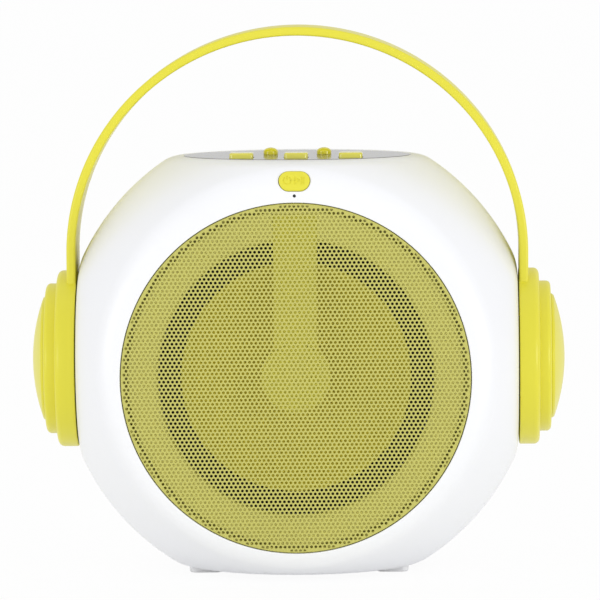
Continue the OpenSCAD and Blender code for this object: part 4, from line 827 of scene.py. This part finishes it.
stations = []
for z in [LEG_END + (ARCH_START - LEG_END) * k / 6 for k in range(6)]:
    stations.append(((BAND_A, z), (BAND_A - BAND_T, z)))
for k in range(145):
    t = 180 * k / 144
    stations.append((superellipse(BAND_A, ARCH_RISE, t),
                     superellipse(BAND_A - BAND_T, ARCH_RISE - BAND_T, t)))
for z in [LEG_END + (ARCH_START - LEG_END) * k / 6 for k in range(5, -1, -1)]:
    stations.append(((-BAND_A, z), (-BAND_A + BAND_T, z)))
section = [(u, 0.5 - v / BAND_T) for u, v in soft_rect(BAND_W, BAND_T, 1.3, 7)]
rings = [[(o[0] + (i[0] - o[0]) * w, u, CENTRE_Z + o[1] + (i[1] - o[1]) * w) for u, w in section]
         for o, i in stations]
add("band_arch", *stack(rings), "handle", "yellow_plastic", "handle_band", sharp=50)

# Feet
for sx in (-1, 1):
    for sy in (-1, 1):
        edge = 1.0
        rings = [[(sx * FOOT_X + u, sy * FOOT_Y + v, z) for u, v in soft_rect(FOOT_W, FOOT_L, FOOT_CORNER)]
                 for z in (FOOT_H + 1, edge)]
        for a in (18, 36, 54, 72, 90):
            inset = edge * (1 - cos(radians(a)))
            outline = soft_rect(FOOT_W - 2 * inset, FOOT_L - 2 * inset, FOOT_CORNER - inset)
            level = edge - edge * sin(radians(a))
            rings.append([(sx * FOOT_X + u, sy * FOOT_Y + v, level) for u, v in outline])
        name = f"foot_{'left' if sx < 0 else 'right'}_{'front' if sy < 0 else 'rear'}"
        add(name, *stack(rings), "body", "white_rubber", "feet")

# Floor, light and camera
def emission_for_camera(tree, out, base, strength, share):
    """Shows a share of plain white to camera, glossy and transmission rays over the base shader."""
    path = tree.nodes.new("ShaderNodeLightPath")
    first = tree.nodes.new("ShaderNodeMath")
    first.operation = "MAXIMUM"
    tree.links.new(path.outputs["Is Camera Ray"], first.inputs[0])
    tree.links.new(path.outputs["Is Glossy Ray"], first.inputs[1])
    second = tree.nodes.new("ShaderNodeMath")
    second.operation = "MAXIMUM"
    tree.links.new(first.outputs[0], second.inputs[0])
    tree.links.new(path.outputs["Is Transmission Ray"], second.inputs[1])
    scaled = tree.nodes.new("ShaderNodeMath")
    scaled.operation = "MULTIPLY"
    scaled.inputs[1].default_value = share
    tree.links.new(second.outputs[0], scaled.inputs[0])
    glow = tree.nodes.new("ShaderNodeEmission")
    glow.inputs["Strength"].default_value = strength
    blend = tree.nodes.new("ShaderNodeMixShader")
    tree.links.new(scaled.outputs[0], blend.inputs[0])
    tree.links.new(base, blend.inputs[1])
    tree.links.new(glow.outputs[0], blend.inputs[2])
    tree.links.new(blend.outputs[0], out.inputs["Surface"])


floor_mat = bpy.data.materials.new("floor_pale")
floor_mat.use_nodes = True
tree = floor_mat.node_tree
tree.nodes.remove(tree.nodes["Principled BSDF"])
diffuse = tree.nodes.new("ShaderNodeBsdfDiffuse")
diffuse.inputs["Color"].default_value = (0.95, 0.95, 0.95, 1)
emission_for_camera(tree, tree.nodes["Material Output"], diffuse.outputs[0], 1.0, 0.95)
half_floor = 30.0
mesh = bpy.data.meshes.new("floor")
mesh.from_pydata([(-half_floor, -half_floor, 0), (half_floor, -half_floor, 0), (half_floor, half_floor, 0),
                  (-half_floor, half_floor, 0)], [], [(0, 1, 2, 3)])
mesh.materials.append(floor_mat)
ground = bpy.data.objects.new("floor", mesh)
scene.collection.objects.link(ground)

world = bpy.data.worlds.new("studio")
scene.world = world
world.use_nodes = True
tree = world.node_tree
back = tree.nodes["Background"]
back.inputs["Color"].default_value = (1, 1, 1, 1)
WORLD_LIGHT = 0.8
path = tree.nodes.new("ShaderNodeLightPath")
direct = tree.nodes.new("ShaderNodeMath")
direct.operation = "MAXIMUM"
tree.links.new(path.outputs["Is Camera Ray"], direct.inputs[0])
tree.links.new(path.outputs["Is Transmission Ray"], direct.inputs[1])
ranged = tree.nodes.new("ShaderNodeMapRange")
ranged.inputs["To Min"].default_value = WORLD_LIGHT
ranged.inputs["To Max"].default_value = 1.0
tree.links.new(direct.outputs[0], ranged.inputs["Value"])
tree.links.new(ranged.outputs["Result"], back.inputs["Strength"])


def area(name, at, aim, size, power):
    light = bpy.data.lights.new(name, "AREA")
    light.shape = "RECTANGLE"
    light.size, light.size_y = size
    light.energy = power
    obj = bpy.data.objects.new(name, light)
    obj.location = at
    obj.rotation_euler = (Vector(aim) - Vector(at)).to_track_quat("-Z", "Y").to_euler()
    scene.collection.objects.link(obj)


middle = (0, 0, 0.12)
area("key", (-1.9, -2.0, 0.34), middle, (1.6, 0.6), 11)
area("fill", (2.1, -2.0, 0.32), middle, (1.6, 0.6), 16.5)
area("top", (0, 0.2, 2.4), middle, (2.2, 1.6), 1.5)

BODY_CENTRE = Vector((0, 0, CENTRE_Z * MM))
DISTANCE, ELEVATION, AZIMUTH, CAMERA_ROLL = 3.0, radians(4.85), radians(1.2), radians(-0.42)
camera_data = bpy.data.cameras.new("camera")
camera_data.lens = 360
camera_data.sensor_width = 36
camera_data.clip_end = 100
camera = bpy.data.objects.new("camera", camera_data)
scene.collection.objects.link(camera)
AIM = Vector((0.00085, 0, 0.0285))        # from the body's centre, in metres
towards = Vector((sin(AZIMUTH) * cos(ELEVATION), -cos(AZIMUTH) * cos(ELEVATION), sin(ELEVATION)))
camera.location = BODY_CENTRE + DISTANCE * towards
look = (BODY_CENTRE + AIM - camera.location).to_track_quat("-Z", "Y")
camera.rotation_mode = "QUATERNION"
camera.rotation_quaternion = look @ Matrix.Rotation(CAMERA_ROLL, 3, "Z").to_quaternion()
scene.camera = camera
scene.view_settings.view_transform = "Standard"
